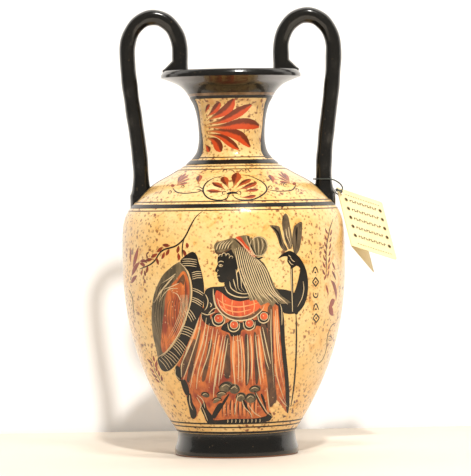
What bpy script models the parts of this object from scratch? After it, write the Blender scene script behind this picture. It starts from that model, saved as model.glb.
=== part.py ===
"""Two-handled painted amphora with a folded swing tag on a thread.

The vessel is made as a potter makes it: foot, body, neck and mouth are thrown one by one, two
coils are bent for handles, and everything is joined with slip. Each piece is a solid of its own,
and a slip line is left between neighbours. Metres, +Z up, the foot's centre on the table at the
origin, the handles in the X-Z plane, the painted front facing -Y.
"""

import math

import bmesh
import bpy
from mathutils import Euler, Matrix, Vector

# ---- Driving dimensions, in metres ----

SLIP_GAP = 0.0003            # slip line between two luted pieces
SEGMENTS = 48                # sides of every turned piece

FOOT_HEIGHT = 0.0158
FOOT_BASE_RADIUS = 0.0417
FOOT_TOP_RADIUS = 0.0395
FOOT_RING_WALL = 0.0055
FOOT_EDGE_ROUND = 0.0015

BODY_WALL = 0.0045
BODY_FLOOR = 0.0060
BODY_BASE_RADIUS = 0.0399
BODY_BOSS_HEIGHT = 0.0030    # locating boss that drops into the foot
BELLY_RADIUS = 0.0750
BELLY_RISE = 0.1177          # from the body's base up to its widest girth
SHOULDER_RISE = 0.0612       # from the widest girth up to the neck seat
BELLY_FULLNESS = 2.3

NECK_SEAT_RADIUS = 0.0310
NECK_HEIGHT = 0.0450
NECK_WAIST_RADIUS = 0.0220
NECK_WALL = 0.0043
NECK_SEAT_WIDTH = 0.0048      # the ledge outside the neck's spigot
NECK_SPIGOT_DEPTH = 0.0040

MOUTH_SEAT_RADIUS = 0.0280
MOUTH_HEIGHT = 0.0174
MOUTH_SEAT_WIDTH = 0.0049     # the ledge outside the mouth's spigot
MOUTH_SPIGOT_WALL = 0.0026
MOUTH_SPIGOT_DEPTH = 0.0030
LIP_RADIUS = 0.0471
LIP_EDGE_DROP = 0.0045       # from the rim's top down to the underside of the lip

HANDLE_COIL_RADIUS = 0.0053
HANDLE_ROOT_INSET = 0.0135   # from the belly's girth in to the coil's lower end
HANDLE_BOW = 0.0080          # how far the coil leans out between its root and its crown
HANDLE_LIP_INSET = 0.0131    # from the lip's edge in to where the coil comes down
HANDLE_RISE = 0.0367         # from the rim's top to the coil's crown, on its centreline
HANDLE_SPRING = 0.0140       # from the rim's top to the foot of the crown's arch
HANDLE_FLARE = 0.0022        # how much wider the pressed ends are than the coil
HANDLE_FLARE_LENGTH = 0.0045
HANDLE_SUNK = 0.0100         # how far the coil is drawn on past its seat, where it is cut off

TAG_WIDTH = 0.0420
TAG_LENGTH = 0.0480
TAG_THICKNESS = 0.00035
TAG_FOLD_GAP = 0.0003        # between the leaves when the card is shut
TAG_CORNER_ROUND = 0.0022
TAG_HOLE_RADIUS = 0.0015
TAG_HOLE_INSET = 0.0030      # from the fold to the hole's centre
TAG_HOLE_DROP = 0.0035       # from the top edge to the hole's centre
TAG_HOLE_REACH = Vector((0.0118, 0.0030, -0.0090))  # from the loop's middle to the hole
TAG_TILT = Euler((math.radians(-33), math.radians(15), math.radians(39)))
TAG_OPENING = math.radians(26)

LOOP_RISE = 0.0090           # from the handle's root up to the thread's loop
THREAD_DIAMETER = 0.0009
THREAD_STEP = 0.0020         # between two stations of the tube
KNOT_RADIUS = 0.0010
KNOT_REACH = Vector((0.0087, -0.0029, -0.0074))     # from the loop's middle to the knot

# The thread's loop, from the knot through the tag's holes, up behind the handle, round it, and
# back down in front of the tag to the knot, counted from the middle of the handle at the loop.
THREAD_ROUTE = (
    (0.00950, -0.00200, -0.00745),
    (0.01030, -0.00110, -0.00750),
    (0.01160, 0.00045, -0.00770),
    (0.01228, 0.00175, -0.00815),
    (0.01202, 0.00275, -0.00880),
    (0.01130, 0.00345, -0.00940),
    (0.01045, 0.00418, -0.01010),
    (0.00955, 0.00528, -0.01035),
    (0.00845, 0.00645, -0.00960),
    (0.00730, 0.00700, -0.00780),
    (0.00580, 0.00680, -0.00520),
    (0.00410, 0.00640, -0.00270),
    (0.00190, 0.00640, -0.00090),
    (-0.00070, 0.00650, 0.00005),
    (-0.00350, 0.00560, 0.00020),
    (-0.00590, 0.00330, 0.00030),
    (-0.00700, 0.00010, 0.00030),
    (-0.00590, -0.00320, 0.00025),
    (-0.00320, -0.00570, 0.00025),
    (0.00010, -0.00650, 0.00020),
    (0.00330, -0.00590, 0.00010),
    (0.00620, -0.00440, -0.00040),
    (0.00890, -0.00270, -0.00170),
    (0.01120, -0.00130, -0.00350),
    (0.01250, -0.00030, -0.00565),
    (0.01225, -0.00120, -0.00720),
    (0.01135, -0.00240, -0.00810),
    (0.01040, -0.00310, -0.00820),
    (0.00978, -0.00350, -0.00794),
)

# ---- Heights that follow from them ----

BODY_BASE_Z = FOOT_HEIGHT + SLIP_GAP
BELLY_Z = BODY_BASE_Z + BELLY_RISE
BODY_TOP_Z = BELLY_Z + SHOULDER_RISE
NECK_BASE_Z = BODY_TOP_Z + SLIP_GAP
NECK_TOP_Z = NECK_BASE_Z + NECK_HEIGHT
MOUTH_BASE_Z = NECK_TOP_Z + SLIP_GAP
RIM_Z = MOUTH_BASE_Z + MOUTH_HEIGHT
CROWN_Z = RIM_Z + HANDLE_RISE
SPRING_Z = RIM_Z + HANDLE_SPRING

# ---- Radii that follow from them ----

FOOT_BORE_RADIUS = FOOT_TOP_RADIUS - FOOT_RING_WALL
NECK_SPIGOT_RADIUS = NECK_SEAT_RADIUS - NECK_SEAT_WIDTH
MOUTH_SPIGOT_RADIUS = MOUTH_SEAT_RADIUS - MOUTH_SEAT_WIDTH
THROAT_RADIUS = MOUTH_SPIGOT_RADIUS - MOUTH_SPIGOT_WALL
HANDLE_ROOT_OFFSET = BELLY_RADIUS - HANDLE_ROOT_INSET
HANDLE_BOW_OFFSET = HANDLE_ROOT_OFFSET + HANDLE_BOW
HANDLE_LIP_OFFSET = LIP_RADIUS - HANDLE_LIP_INSET

BLACK_GLAZE = ("black_glaze", (0.013, 0.012, 0.010, 1.0), 0.16)
CREAM_SLIP = ("cream_slip", (0.80, 0.55, 0.27, 1.0), 0.24)
TAG_CARD = ("tag_card", (0.85, 0.70, 0.36, 1.0), 0.75)
TAG_THREAD = ("tag_thread", (0.05, 0.07, 0.06, 1.0), 0.85)


# ---- Outlines ----


def smooth_line(points, steps):
    """A Catmull-Rom line through the points, with this many steps between each two."""
    ends = [2 * points[0] - points[1], *points, 2 * points[-1] - points[-2]]
    line = []
    for before, start, stop, after in zip(ends, ends[1:], ends[2:], ends[3:]):
        for step in range(steps):
            t = step / steps
            bend = 2 * before - 5 * start + 4 * stop - after
            twist = 3 * start - before - 3 * stop + after
            line.append(start + t / 2 * ((stop - before) + t * (bend + t * twist)))
    return [*line, points[-1]]


def offset_line(line, distance):
    """The line moved sideways: to the left of its direction when distance is positive."""
    moved = []
    for index, point in enumerate(line):
        before = line[max(index - 1, 0)]
        after = line[min(index + 1, len(line) - 1)]
        along = (after - before).normalized()
        moved.append(point + distance * Vector((-along.y, along.x)))
    return moved


def body_outside():
    """The body's outside from its base to the neck seat, as (radius, height)."""
    lower = []
    for step in range(10):
        rise = step / 10
        fullness = 1 - (1 - rise) ** BELLY_FULLNESS
        radius = BODY_BASE_RADIUS + (BELLY_RADIUS - BODY_BASE_RADIUS) * fullness
        lower.append(Vector((radius, BODY_BASE_Z + rise * BELLY_RISE)))
    # share of the shoulder's rise, and share of the way in from the belly to the neck seat
    shape = (
        (0.0, 0.0), (0.24, 0.006), (0.42, 0.045), (0.56, 0.163), (0.77, 0.455), (0.90, 0.765),
        (1.0, 1.0),
    )
    reach = BELLY_RADIUS - NECK_SEAT_RADIUS
    upper = [
        Vector((BELLY_RADIUS - inward * reach, BELLY_Z + rise * SHOULDER_RISE))
        for rise, inward in shape
    ]
    return lower + smooth_line(upper, 2)


def body_outline():
    """Half the body's section, from the axis under the floor round to the axis on the floor."""
    floor_z = BODY_BASE_Z - BODY_BOSS_HEIGHT + BODY_FLOOR
    boss_radius = FOOT_BORE_RADIUS - SLIP_GAP
    boss_z = BODY_BASE_Z - BODY_BOSS_HEIGHT
    bore_radius = NECK_SPIGOT_RADIUS + SLIP_GAP
    ledge_z = BODY_TOP_Z - NECK_SPIGOT_DEPTH - SLIP_GAP
    outside = body_outside()
    skin = offset_line(outside, BODY_WALL)
    inside = [
        point
        for point in skin
        if floor_z + BODY_WALL / 2 < point.y < ledge_z - BODY_WALL / 2
    ]
    return [
        Vector((0, boss_z)),
        Vector((boss_radius, boss_z)),
        Vector((boss_radius, BODY_BASE_Z)),
        *outside,
        Vector((bore_radius, BODY_TOP_Z)),
        Vector((bore_radius, ledge_z)),
        *reversed(inside),
        Vector((skin[0].x, floor_z)),
        Vector((0, floor_z)),
    ]


def foot_outline():
    """The foot's ring section, anticlockwise from the resting ring's inner edge."""
    waist_radius = FOOT_TOP_RADIUS + 0.2 * (FOOT_BASE_RADIUS - FOOT_TOP_RADIUS)
    return [
        Vector((FOOT_BORE_RADIUS + FOOT_EDGE_ROUND, 0)),
        Vector((FOOT_BASE_RADIUS - FOOT_EDGE_ROUND, 0)),
        Vector((FOOT_BASE_RADIUS - 0.25 * FOOT_EDGE_ROUND, 0.25 * FOOT_EDGE_ROUND)),
        Vector((FOOT_BASE_RADIUS, FOOT_EDGE_ROUND)),
        Vector((FOOT_BASE_RADIUS, 0.25 * FOOT_HEIGHT)),
        Vector((waist_radius, 0.55 * FOOT_HEIGHT)),
        Vector((FOOT_TOP_RADIUS, 0.85 * FOOT_HEIGHT)),
        Vector((FOOT_TOP_RADIUS, FOOT_HEIGHT)),
        Vector((FOOT_BORE_RADIUS, FOOT_HEIGHT)),
        Vector((FOOT_BORE_RADIUS, FOOT_EDGE_ROUND)),
    ]


def neck_outline():
    """The neck's ring section, anticlockwise from the foot of its spigot."""
    flare = NECK_SEAT_RADIUS - NECK_WAIST_RADIUS
    gape = MOUTH_SEAT_RADIUS - NECK_WAIST_RADIUS
    # share of the neck's height, and share of the flare or gape beyond the waist
    stations = [
        Vector((NECK_WAIST_RADIUS + share, NECK_BASE_Z + rise * NECK_HEIGHT))
        for rise, share in (
            (0.0, flare), (0.10, 0.47 * flare), (0.21, 0.14 * flare), (0.40, 0.0),
            (0.66, 0.13 * gape), (0.86, 0.47 * gape), (1.0, gape),
        )
    ]
    outside = smooth_line(stations, 2)
    socket_radius = MOUTH_SPIGOT_RADIUS + SLIP_GAP
    socket_z = NECK_TOP_Z - MOUTH_SPIGOT_DEPTH - SLIP_GAP
    inside = [
        point
        for point in offset_line(outside, NECK_WALL)
        if NECK_BASE_Z + NECK_WALL / 2 < point.y < socket_z - NECK_WALL / 4
    ]
    spigot_z = NECK_BASE_Z - NECK_SPIGOT_DEPTH
    return [
        Vector((NECK_SPIGOT_RADIUS - NECK_WALL, spigot_z)),
        Vector((NECK_SPIGOT_RADIUS, spigot_z)),
        Vector((NECK_SPIGOT_RADIUS, NECK_BASE_Z)),
        *outside,
        Vector((socket_radius, NECK_TOP_Z)),
        Vector((socket_radius, socket_z)),
        Vector((inside[-1].x, socket_z)),
        *reversed(inside),
    ]


def mouth_top():
    """The mouth's upper side from the lip's tip in and down to its throat."""
    reach = LIP_RADIUS - THROAT_RADIUS
    # share of the way in from the tip, and share of the way down from the rim to the seat
    shape = (
        (0.0, 0.15), (0.06, 0.02), (0.13, 0.0), (0.34, 0.17), (0.60, 0.42), (0.83, 0.74),
        (1.0, 1.0),
    )
    return [
        Vector((LIP_RADIUS - inward * reach, RIM_Z - drop * MOUTH_HEIGHT))
        for inward, drop in shape
    ]


def mouth_outline():
    """The mouth's ring section, anticlockwise from the foot of its spigot."""
    reach = LIP_RADIUS - MOUTH_SEAT_RADIUS
    under_lip = MOUTH_HEIGHT - LIP_EDGE_DROP
    # share of the way out from the seat to the tip, and share of the way up to the lip
    flare = smooth_line(
        [
            Vector((MOUTH_SEAT_RADIUS + out * reach, MOUTH_BASE_Z + rise * under_lip))
            for out, rise in ((0.0, 0.0), (0.17, 0.34), (0.39, 0.63), (0.72, 0.85), (1.0, 1.0))
        ],
        2,
    )
    spigot_z = MOUTH_BASE_Z - MOUTH_SPIGOT_DEPTH
    top = mouth_top()
    return [
        Vector((top[-1].x, spigot_z)),
        Vector((MOUTH_SPIGOT_RADIUS, spigot_z)),
        Vector((MOUTH_SPIGOT_RADIUS, MOUTH_BASE_Z)),
        *flare,
        *top,
    ]


# ---- Making solids ----


def clear_scene():
    for thing in list(bpy.data.objects):
        bpy.data.objects.remove(thing)


def finish_of(finish):
    """A Principled material for a (name, colour, roughness) finish, made once."""
    name, colour, roughness = finish
    made = bpy.data.materials.get(name)
    if made:
        return made
    made = bpy.data.materials.new(name)
    made.use_nodes = True
    shader = made.node_tree.nodes["Principled BSDF"]
    shader.inputs["Base Color"].default_value = colour
    shader.inputs["Roughness"].default_value = roughness
    shader.inputs["Metallic"].default_value = 0.0
    made.diffuse_color = colour
    return made


def add_object(name, mesh, finish):
    if finish:
        mesh.materials.append(finish_of(finish))
    mesh.shade_smooth()
    mesh.set_sharp_from_angle(angle=math.radians(40))
    piece = bpy.data.objects.new(name, mesh)
    bpy.context.scene.collection.objects.link(piece)
    return piece


def turned(name, outline, finish, closed=True):
    """A section spun round Z. A closed section makes a ring; an open one starts and ends on Z."""
    form = bmesh.new()
    corners = [form.verts.new((point.x, 0, point.y)) for point in outline]
    pairs = list(zip(corners, corners[1:]))
    if closed:
        pairs.append((corners[-1], corners[0]))
    edges = [form.edges.new(pair) for pair in pairs]
    bmesh.ops.spin(
        form, geom=corners + edges, cent=(0, 0, 0), axis=(0, 0, 1),
        angle=math.tau, steps=SEGMENTS, use_merge=True,
    )
    # a flat side, not an edge, faces along X, so that the handles' middles meet no edge
    half_side = Matrix.Rotation(math.pi / SEGMENTS, 4, "Z")
    bmesh.ops.transform(form, verts=form.verts, matrix=half_side)
    bmesh.ops.remove_doubles(form, verts=form.verts, dist=1e-6)
    bmesh.ops.recalc_face_normals(form, faces=form.faces)
    mesh = bpy.data.meshes.new(name)
    form.to_mesh(mesh)
    form.free()
    return add_object(name, mesh, finish)


def tube_mesh(name, stations, radii, sides_resolution):
    """The closed mesh of a round tube through the stations, with a radius at each."""
    curve = bpy.data.curves.new(name + "_line", "CURVE")
    curve.dimensions = "3D"
    curve.bevel_depth = 1.0
    curve.bevel_resolution = sides_resolution
    curve.use_fill_caps = True
    line = curve.splines.new("POLY")
    line.points.add(len(stations) - 1)
    for point, place, radius in zip(line.points, stations, radii):
        point.co = (*place, 1)
        point.radius = radius
    guide = bpy.data.objects.new(name + "_guide", curve)
    bpy.context.scene.collection.objects.link(guide)
    graph = bpy.context.evaluated_depsgraph_get()
    mesh = bpy.data.meshes.new_from_object(guide.evaluated_get(graph))
    bpy.data.objects.remove(guide)
    form = bmesh.new()
    form.from_mesh(mesh)
    bmesh.ops.remove_doubles(form, verts=form.verts, dist=1e-6)
    bmesh.ops.recalc_face_normals(form, faces=form.faces)
    form.to_mesh(mesh)
    form.free()
    mesh.name = name
    mesh.materials.clear()
    return mesh


def hide_cutter(cutter):
    cutter.hide_render = True
    cutter.display_type = "WIRE"


def cut_away(piece, cutter):
    cut = piece.modifiers.new("cut_" + cutter.name, "BOOLEAN")
    cut.operation = "DIFFERENCE"
    cut.solver = "EXACT"
    cut.object = cutter


# ---- The vessel ----


def body_seat():
    """Everything inside the body's skin and the slip line on it: what a handle's root is cut by."""
    skin = offset_line(body_outside(), -SLIP_GAP)
    outline = [Vector((0, BODY_BASE_Z)), *skin, Vector((0, skin[-1].y))]
    cutter = turned("body_seat", outline, None, closed=False)
    hide_cutter(cutter)
    return cutter


def mouth_seat():
    """Everything under the mouth's upper side and the slip line on it."""
    top = [Vector((point.x, point.y + SLIP_GAP)) for point in mouth_top()]
    outer_radius = LIP_RADIUS + 10 * SLIP_GAP
    outline = [
        Vector((0, NECK_TOP_Z - NECK_HEIGHT / 2)),
        Vector((outer_radius, NECK_TOP_Z - NECK_HEIGHT / 2)),
        Vector((outer_radius, top[0].y)),
        *top,
        Vector((0, top[-1].y)),
    ]
    cutter = turned("mouth_seat", outline, None, closed=False)
    hide_cutter(cutter)
    return cutter


def skin_height(radius, line):
    """The height at which a line that runs inwards and upwards passes this radius."""
    for outer, inner in zip(line, line[1:]):
        if outer.y >= BELLY_Z and outer.x >= radius >= inner.x:
            share = (outer.x - radius) / (outer.x - inner.x)
            return outer.y + share * (inner.y - outer.y)
    return line[-1].y


def handle_root():
    """The point of the shoulder under the middle of the right handle's lower end."""
    return Vector((HANDLE_ROOT_OFFSET, 0, skin_height(HANDLE_ROOT_OFFSET, body_outside())))


def handle_centreline(side):
    """The coil's middle, from inside the shoulder, up, over the crown and down to the mouth."""
    shoulder_z = handle_root().z
    root_z = shoulder_z - HANDLE_SUNK
    straight_z = shoulder_z + HANDLE_SUNK
    leg = []
    for step in range(16):
        z = root_z + (SPRING_Z - root_z) * step / 16
        share = min(max((z - straight_z) / (SPRING_Z - straight_z), 0), 1)
        ease = share * share * (3 - 2 * share)
        leg.append((HANDLE_ROOT_OFFSET + (HANDLE_BOW_OFFSET - HANDLE_ROOT_OFFSET) * ease, z))
    middle = (HANDLE_BOW_OFFSET + HANDLE_LIP_OFFSET) / 2
    half_span = (HANDLE_BOW_OFFSET - HANDLE_LIP_OFFSET) / 2
    arch_rise = CROWN_Z - SPRING_Z
    arch = []
    for step in range(17):
        turn = math.pi * step / 16
        arch.append((middle + half_span * math.cos(turn), SPRING_Z + arch_rise * math.sin(turn)))
    landing_z = RIM_Z - HANDLE_SUNK
    drop = []
    for step in range(1, 9):
        share = step / 8
        splay = 0.3 * HANDLE_COIL_RADIUS * share * share
        drop.append((HANDLE_LIP_OFFSET + splay, SPRING_Z + (landing_z - SPRING_Z) * share))
    return [Vector((side * x, 0, z)) for x, z in leg + arch + drop]


def handle_radii(line):
    """The coil's radius along its centreline, wider where its ends are pressed on."""
    shoulder_z = handle_root().z
    lip_z = RIM_Z - 0.25 * MOUTH_HEIGHT
    radii = []
    for index, point in enumerate(line):
        landing = shoulder_z if index < len(line) / 2 else lip_z
        away = max(point.z - landing, 0) / HANDLE_FLARE_LENGTH
        radii.append(HANDLE_COIL_RADIUS + HANDLE_FLARE * math.exp(-away))
    return radii


def build_handle(name, side, cutters):
    line = handle_centreline(side)
    handle = add_object(name, tube_mesh(name, line, handle_radii(line), 5), BLACK_GLAZE)
    for cutter in cutters:
        cut_away(handle, cutter)


def build_vessel():
    turned("foot", foot_outline(), BLACK_GLAZE)
    turned("body", body_outline(), CREAM_SLIP, closed=False)
    turned("neck", neck_outline(), CREAM_SLIP)
    turned("mouth", mouth_outline(), BLACK_GLAZE)
    cutters = (body_seat(), mouth_seat())
    build_handle("handle_left", -1, cutters)
    build_handle("handle_right", 1, cutters)


# ---- The tag ----


def punched_leaf(name, fold, opening, face_offset):
    """One leaf of the card: a plate with round free corners and a punched hole, hung on the fold."""
    form = bmesh.new()
    bmesh.ops.create_cube(form, size=1)
    width = TAG_WIDTH - TAG_FOLD_GAP
    middle = (TAG_FOLD_GAP + width / 2, face_offset, -TAG_LENGTH / 2)
    bmesh.ops.scale(form, verts=form.verts, vec=(width, TAG_THICKNESS, TAG_LENGTH))
    bmesh.ops.translate(form, verts=form.verts, vec=middle)
    free_edges = [
        edge
        for edge in form.edges
        if all(corner.co.x > width / 2 for corner in edge.verts)
        and abs(edge.verts[0].co.y - edge.verts[1].co.y) > TAG_THICKNESS / 2
    ]
    bmesh.ops.bevel(
        form, geom=free_edges, offset=TAG_CORNER_ROUND, offset_type="OFFSET",
        segments=4, profile=0.5, affect="EDGES", material=-1,
    )
    mesh = bpy.data.meshes.new(name)
    form.to_mesh(mesh)
    form.free()
    leaf = add_object(name, mesh, TAG_CARD)
    leaf.parent = fold
    leaf.rotation_euler = (0, 0, opening)
    return leaf


def hole_punch(fold):
    """A pin through both leaves on the hole's axis, at right angles to the front leaf."""
    form = bmesh.new()
    bmesh.ops.create_cone(
        form, cap_ends=True, segments=20, radius1=TAG_HOLE_RADIUS, radius2=TAG_HOLE_RADIUS,
        depth=20 * TAG_HOLE_RADIUS, matrix=Matrix.Rotation(math.pi / 2, 4, "X"),
    )
    mesh = bpy.data.meshes.new("hole_punch")
    form.to_mesh(mesh)
    form.free()
    punch = add_object("hole_punch", mesh, None)
    punch.parent = fold
    punch.location = (TAG_HOLE_INSET, 0, -TAG_HOLE_DROP)
    hide_cutter(punch)
    return punch


def loop_middle():
    """The middle of the right handle where the thread is looped round it."""
    return handle_root() + Vector((0, 0, LOOP_RISE))


def build_tag():
    """The card hangs from its hole: an empty stands on the fold's top end, and carries it all."""
    fold = bpy.data.objects.new("tag_fold_line", None)
    bpy.context.scene.collection.objects.link(fold)
    fold.rotation_euler = TAG_TILT
    to_hole = Vector((TAG_HOLE_INSET, -(TAG_THICKNESS + TAG_FOLD_GAP) / 2, -TAG_HOLE_DROP))
    fold.location = loop_middle() + TAG_HOLE_REACH - TAG_TILT.to_matrix() @ to_hole
    face_offset = (TAG_THICKNESS + TAG_FOLD_GAP) / 2
    front = punched_leaf("tag_front_leaf", fold, 0.0, -face_offset)
    back = punched_leaf("tag_back_leaf", fold, TAG_OPENING, face_offset)
    punch = hole_punch(fold)
    cut_away(front, punch)
    cut_away(back, punch)


def thread_stations():
    """The smooth route of the loop, one station every THREAD_STEP."""
    fine = smooth_line([loop_middle() + Vector(place) for place in THREAD_ROUTE], 12)
    lengths = [0.0]
    for start, stop in zip(fine, fine[1:]):
        lengths.append(lengths[-1] + (stop - start).length)
    count = round(lengths[-1] / THREAD_STEP)
    stations = []
    index = 0
    for step in range(count + 1):
        wanted = lengths[-1] * step / count
        while index < len(fine) - 2 and lengths[index + 1] < wanted:
            index += 1
        share = (wanted - lengths[index]) / (lengths[index + 1] - lengths[index])
        stations.append(fine[index].lerp(fine[index + 1], share))
    return stations


def build_thread():
    curve = bpy.data.curves.new("tag_cord", "CURVE")
    curve.dimensions = "3D"
    curve.bevel_depth = THREAD_DIAMETER / 2
    curve.bevel_resolution = 2
    curve.use_fill_caps = True
    stations = thread_stations()
    line = curve.splines.new("POLY")
    line.points.add(len(stations) - 1)
    for point, place in zip(line.points, stations):
        point.co = (*place, 1)
    curve.materials.append(finish_of(TAG_THREAD))
    cord = bpy.data.objects.new("tag_cord", curve)
    bpy.context.scene.collection.objects.link(cord)
    form = bmesh.new()
    bmesh.ops.create_icosphere(form, subdivisions=2, radius=KNOT_RADIUS)
    mesh = bpy.data.meshes.new("cord_knot")
    form.to_mesh(mesh)
    form.free()
    knot = add_object("cord_knot", mesh, TAG_THREAD)
    knot.location = loop_middle() + KNOT_REACH


def build():
    clear_scene()
    build_vessel()
    build_tag()
    build_thread()


build()
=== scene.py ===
"""Looks of a painted two-handled amphora with a folded swing tag, laid out as an add-on.

Metres, +Z up, the foot's centre on the table at the origin, the handles in the X-Z plane and the
painted front facing -Y. Painted shapes are given in millimetres, as (across, up) on the upright
plane through the axis, and are laid from the front onto the pot's skin.
"""

import bisect
import math

import bmesh
import bpy
from mathutils import Euler, Matrix, Vector


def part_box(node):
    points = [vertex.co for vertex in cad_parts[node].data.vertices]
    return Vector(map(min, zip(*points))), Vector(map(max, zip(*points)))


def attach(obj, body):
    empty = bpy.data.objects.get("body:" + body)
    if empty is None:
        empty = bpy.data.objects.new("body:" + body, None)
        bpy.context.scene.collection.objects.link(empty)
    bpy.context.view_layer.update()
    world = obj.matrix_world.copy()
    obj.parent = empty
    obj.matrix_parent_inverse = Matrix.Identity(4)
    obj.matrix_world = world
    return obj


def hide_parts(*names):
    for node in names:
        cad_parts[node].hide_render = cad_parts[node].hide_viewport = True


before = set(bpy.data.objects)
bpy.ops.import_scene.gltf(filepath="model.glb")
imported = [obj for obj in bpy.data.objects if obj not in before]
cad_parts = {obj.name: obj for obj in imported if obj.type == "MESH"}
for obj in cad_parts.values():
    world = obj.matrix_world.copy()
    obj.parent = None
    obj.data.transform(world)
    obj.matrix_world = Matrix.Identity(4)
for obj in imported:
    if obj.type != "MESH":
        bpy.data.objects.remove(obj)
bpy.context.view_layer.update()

bl_info = {
    "name": "Painted Amphora",
    "version": (1, 0, 0),
    "blender": (4, 5, 0),
    "location": "3D View > Sidebar > Amphora",
    "description": "Builds a painted two-handled amphora with a folded swing tag",
    "category": "Object",
}

MM = 0.001
EYE = Vector((0.0014, -2.235, 0.1816))
AIM = Vector((0.0014, 0.0, 0.1453))

# ---- Heights and radii taken from the frame ----

FOOT_LOW, FOOT_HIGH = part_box("foot")
BODY_LOW, BODY_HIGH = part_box("body")
NECK_LOW, NECK_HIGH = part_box("neck")
MOUTH_LOW, MOUTH_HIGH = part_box("mouth")

FOOT_TOP_Z = FOOT_HIGH.z
BODY_TOP_Z = BODY_HIGH.z
NECK_TOP_Z = NECK_HIGH.z
RIM_Z = MOUTH_HIGH.z
BELLY_RADIUS = 0.0750
LIP_RADIUS = 0.0471


# ---- Settings ----


class VesselSettings(bpy.types.PropertyGroup):
    """The thrown and bent clay."""

    sides: bpy.props.IntProperty(
        name="Sides", description="Sides of every turned piece", default=192, min=48, max=384
    )
    coil_radius: bpy.props.FloatProperty(
        name="Handle coil", description="Radius of the coil that the handles are bent from",
        default=0.0053, min=0.002, max=0.01, subtype="DISTANCE", unit="LENGTH",
    )
    slip: bpy.props.FloatVectorProperty(
        name="Cream slip", description="Colour of the slip that the pot is coated with",
        default=(0.88, 0.62, 0.27), min=0, max=1, subtype="COLOR",
    )
    clay: bpy.props.FloatVectorProperty(
        name="Bare clay", description="Colour of the unglazed clay",
        default=(0.48, 0.17, 0.06), min=0, max=1, subtype="COLOR",
    )


class PaintSettings(bpy.types.PropertyGroup):
    """The brushed and scratched decoration."""

    relief: bpy.props.FloatProperty(
        name="Relief", description="How far the lowest coat of paint stands off the skin",
        default=0.00007, min=0.00003, max=0.0005, subtype="DISTANCE", unit="LENGTH",
    )
    black: bpy.props.FloatVectorProperty(
        name="Black", description="Colour of the black glaze",
        default=(0.008, 0.007, 0.005), min=0, max=1, subtype="COLOR",
    )
    red: bpy.props.FloatVectorProperty(
        name="Red", description="Colour of the orange-red glaze",
        default=(0.62, 0.10, 0.018), min=0, max=1, subtype="COLOR",
    )
    olive: bpy.props.FloatVectorProperty(
        name="Olive grey", description="Colour of the thin grey wash",
        default=(0.19, 0.135, 0.065), min=0, max=1, subtype="COLOR",
    )


class TagSettings(bpy.types.PropertyGroup):
    """The folded card and its thread."""

    paper: bpy.props.FloatVectorProperty(
        name="Card", description="Colour of the card",
        default=(0.90, 0.76, 0.44), min=0, max=1, subtype="COLOR",
    )
    thread_diameter: bpy.props.FloatProperty(
        name="Thread", description="Diameter of the thread",
        default=0.0009, min=0.0005, max=0.002, subtype="DISTANCE", unit="LENGTH",
    )


class StageSettings(bpy.types.PropertyGroup):
    """The table, the backdrop and the lights."""

    floor: bpy.props.FloatVectorProperty(
        name="Table", description="Colour of the table",
        default=(0.80, 0.72, 0.62), min=0, max=1, subtype="COLOR",
    )
    key: bpy.props.FloatProperty(
        name="Key light", description="Power of the high soft light", default=17.0, min=0,
        unit="POWER",
    )
    front: bpy.props.FloatProperty(
        name="Front light", description="Power of the low light beside the camera",
        default=58.0, min=0, unit="POWER",
    )


# ---- Shader expressions ----


class Value:
    """A shader value. Arithmetic on it adds Math nodes to its recipe."""

    def __init__(self, recipe, socket):
        self.recipe = recipe
        self.socket = socket

    def _maths(self, operation, *values):
        return self.recipe.node("ShaderNodeMath", values, operation=operation)

    def __add__(self, other):
        return self._maths("ADD", self, other)

    __radd__ = __add__

    def __sub__(self, other):
        return self._maths("SUBTRACT", self, other)

    def __rsub__(self, other):
        return self._maths("SUBTRACT", other, self)

    def __mul__(self, other):
        return self._maths("MULTIPLY", self, other)

    __rmul__ = __mul__

    def __truediv__(self, other):
        return self._maths("DIVIDE", self, other)

    def __rtruediv__(self, other):
        return self._maths("DIVIDE", other, self)

    def __pow__(self, other):
        return self._maths("POWER", self, other)

    def least(self, other):
        return self._maths("MINIMUM", self, other)

    def most(self, other):
        return self._maths("MAXIMUM", self, other)

    def step(self, low, high):
        """0 below low, 1 above high, smooth between; turned round when low is the greater."""
        return self.recipe.node(
            "ShaderNodeMapRange",
            {"Value": self, "From Min": low, "From Max": high, "To Min": 0.0, "To Max": 1.0},
            interpolation_type="SMOOTHSTEP",
        )


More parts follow.
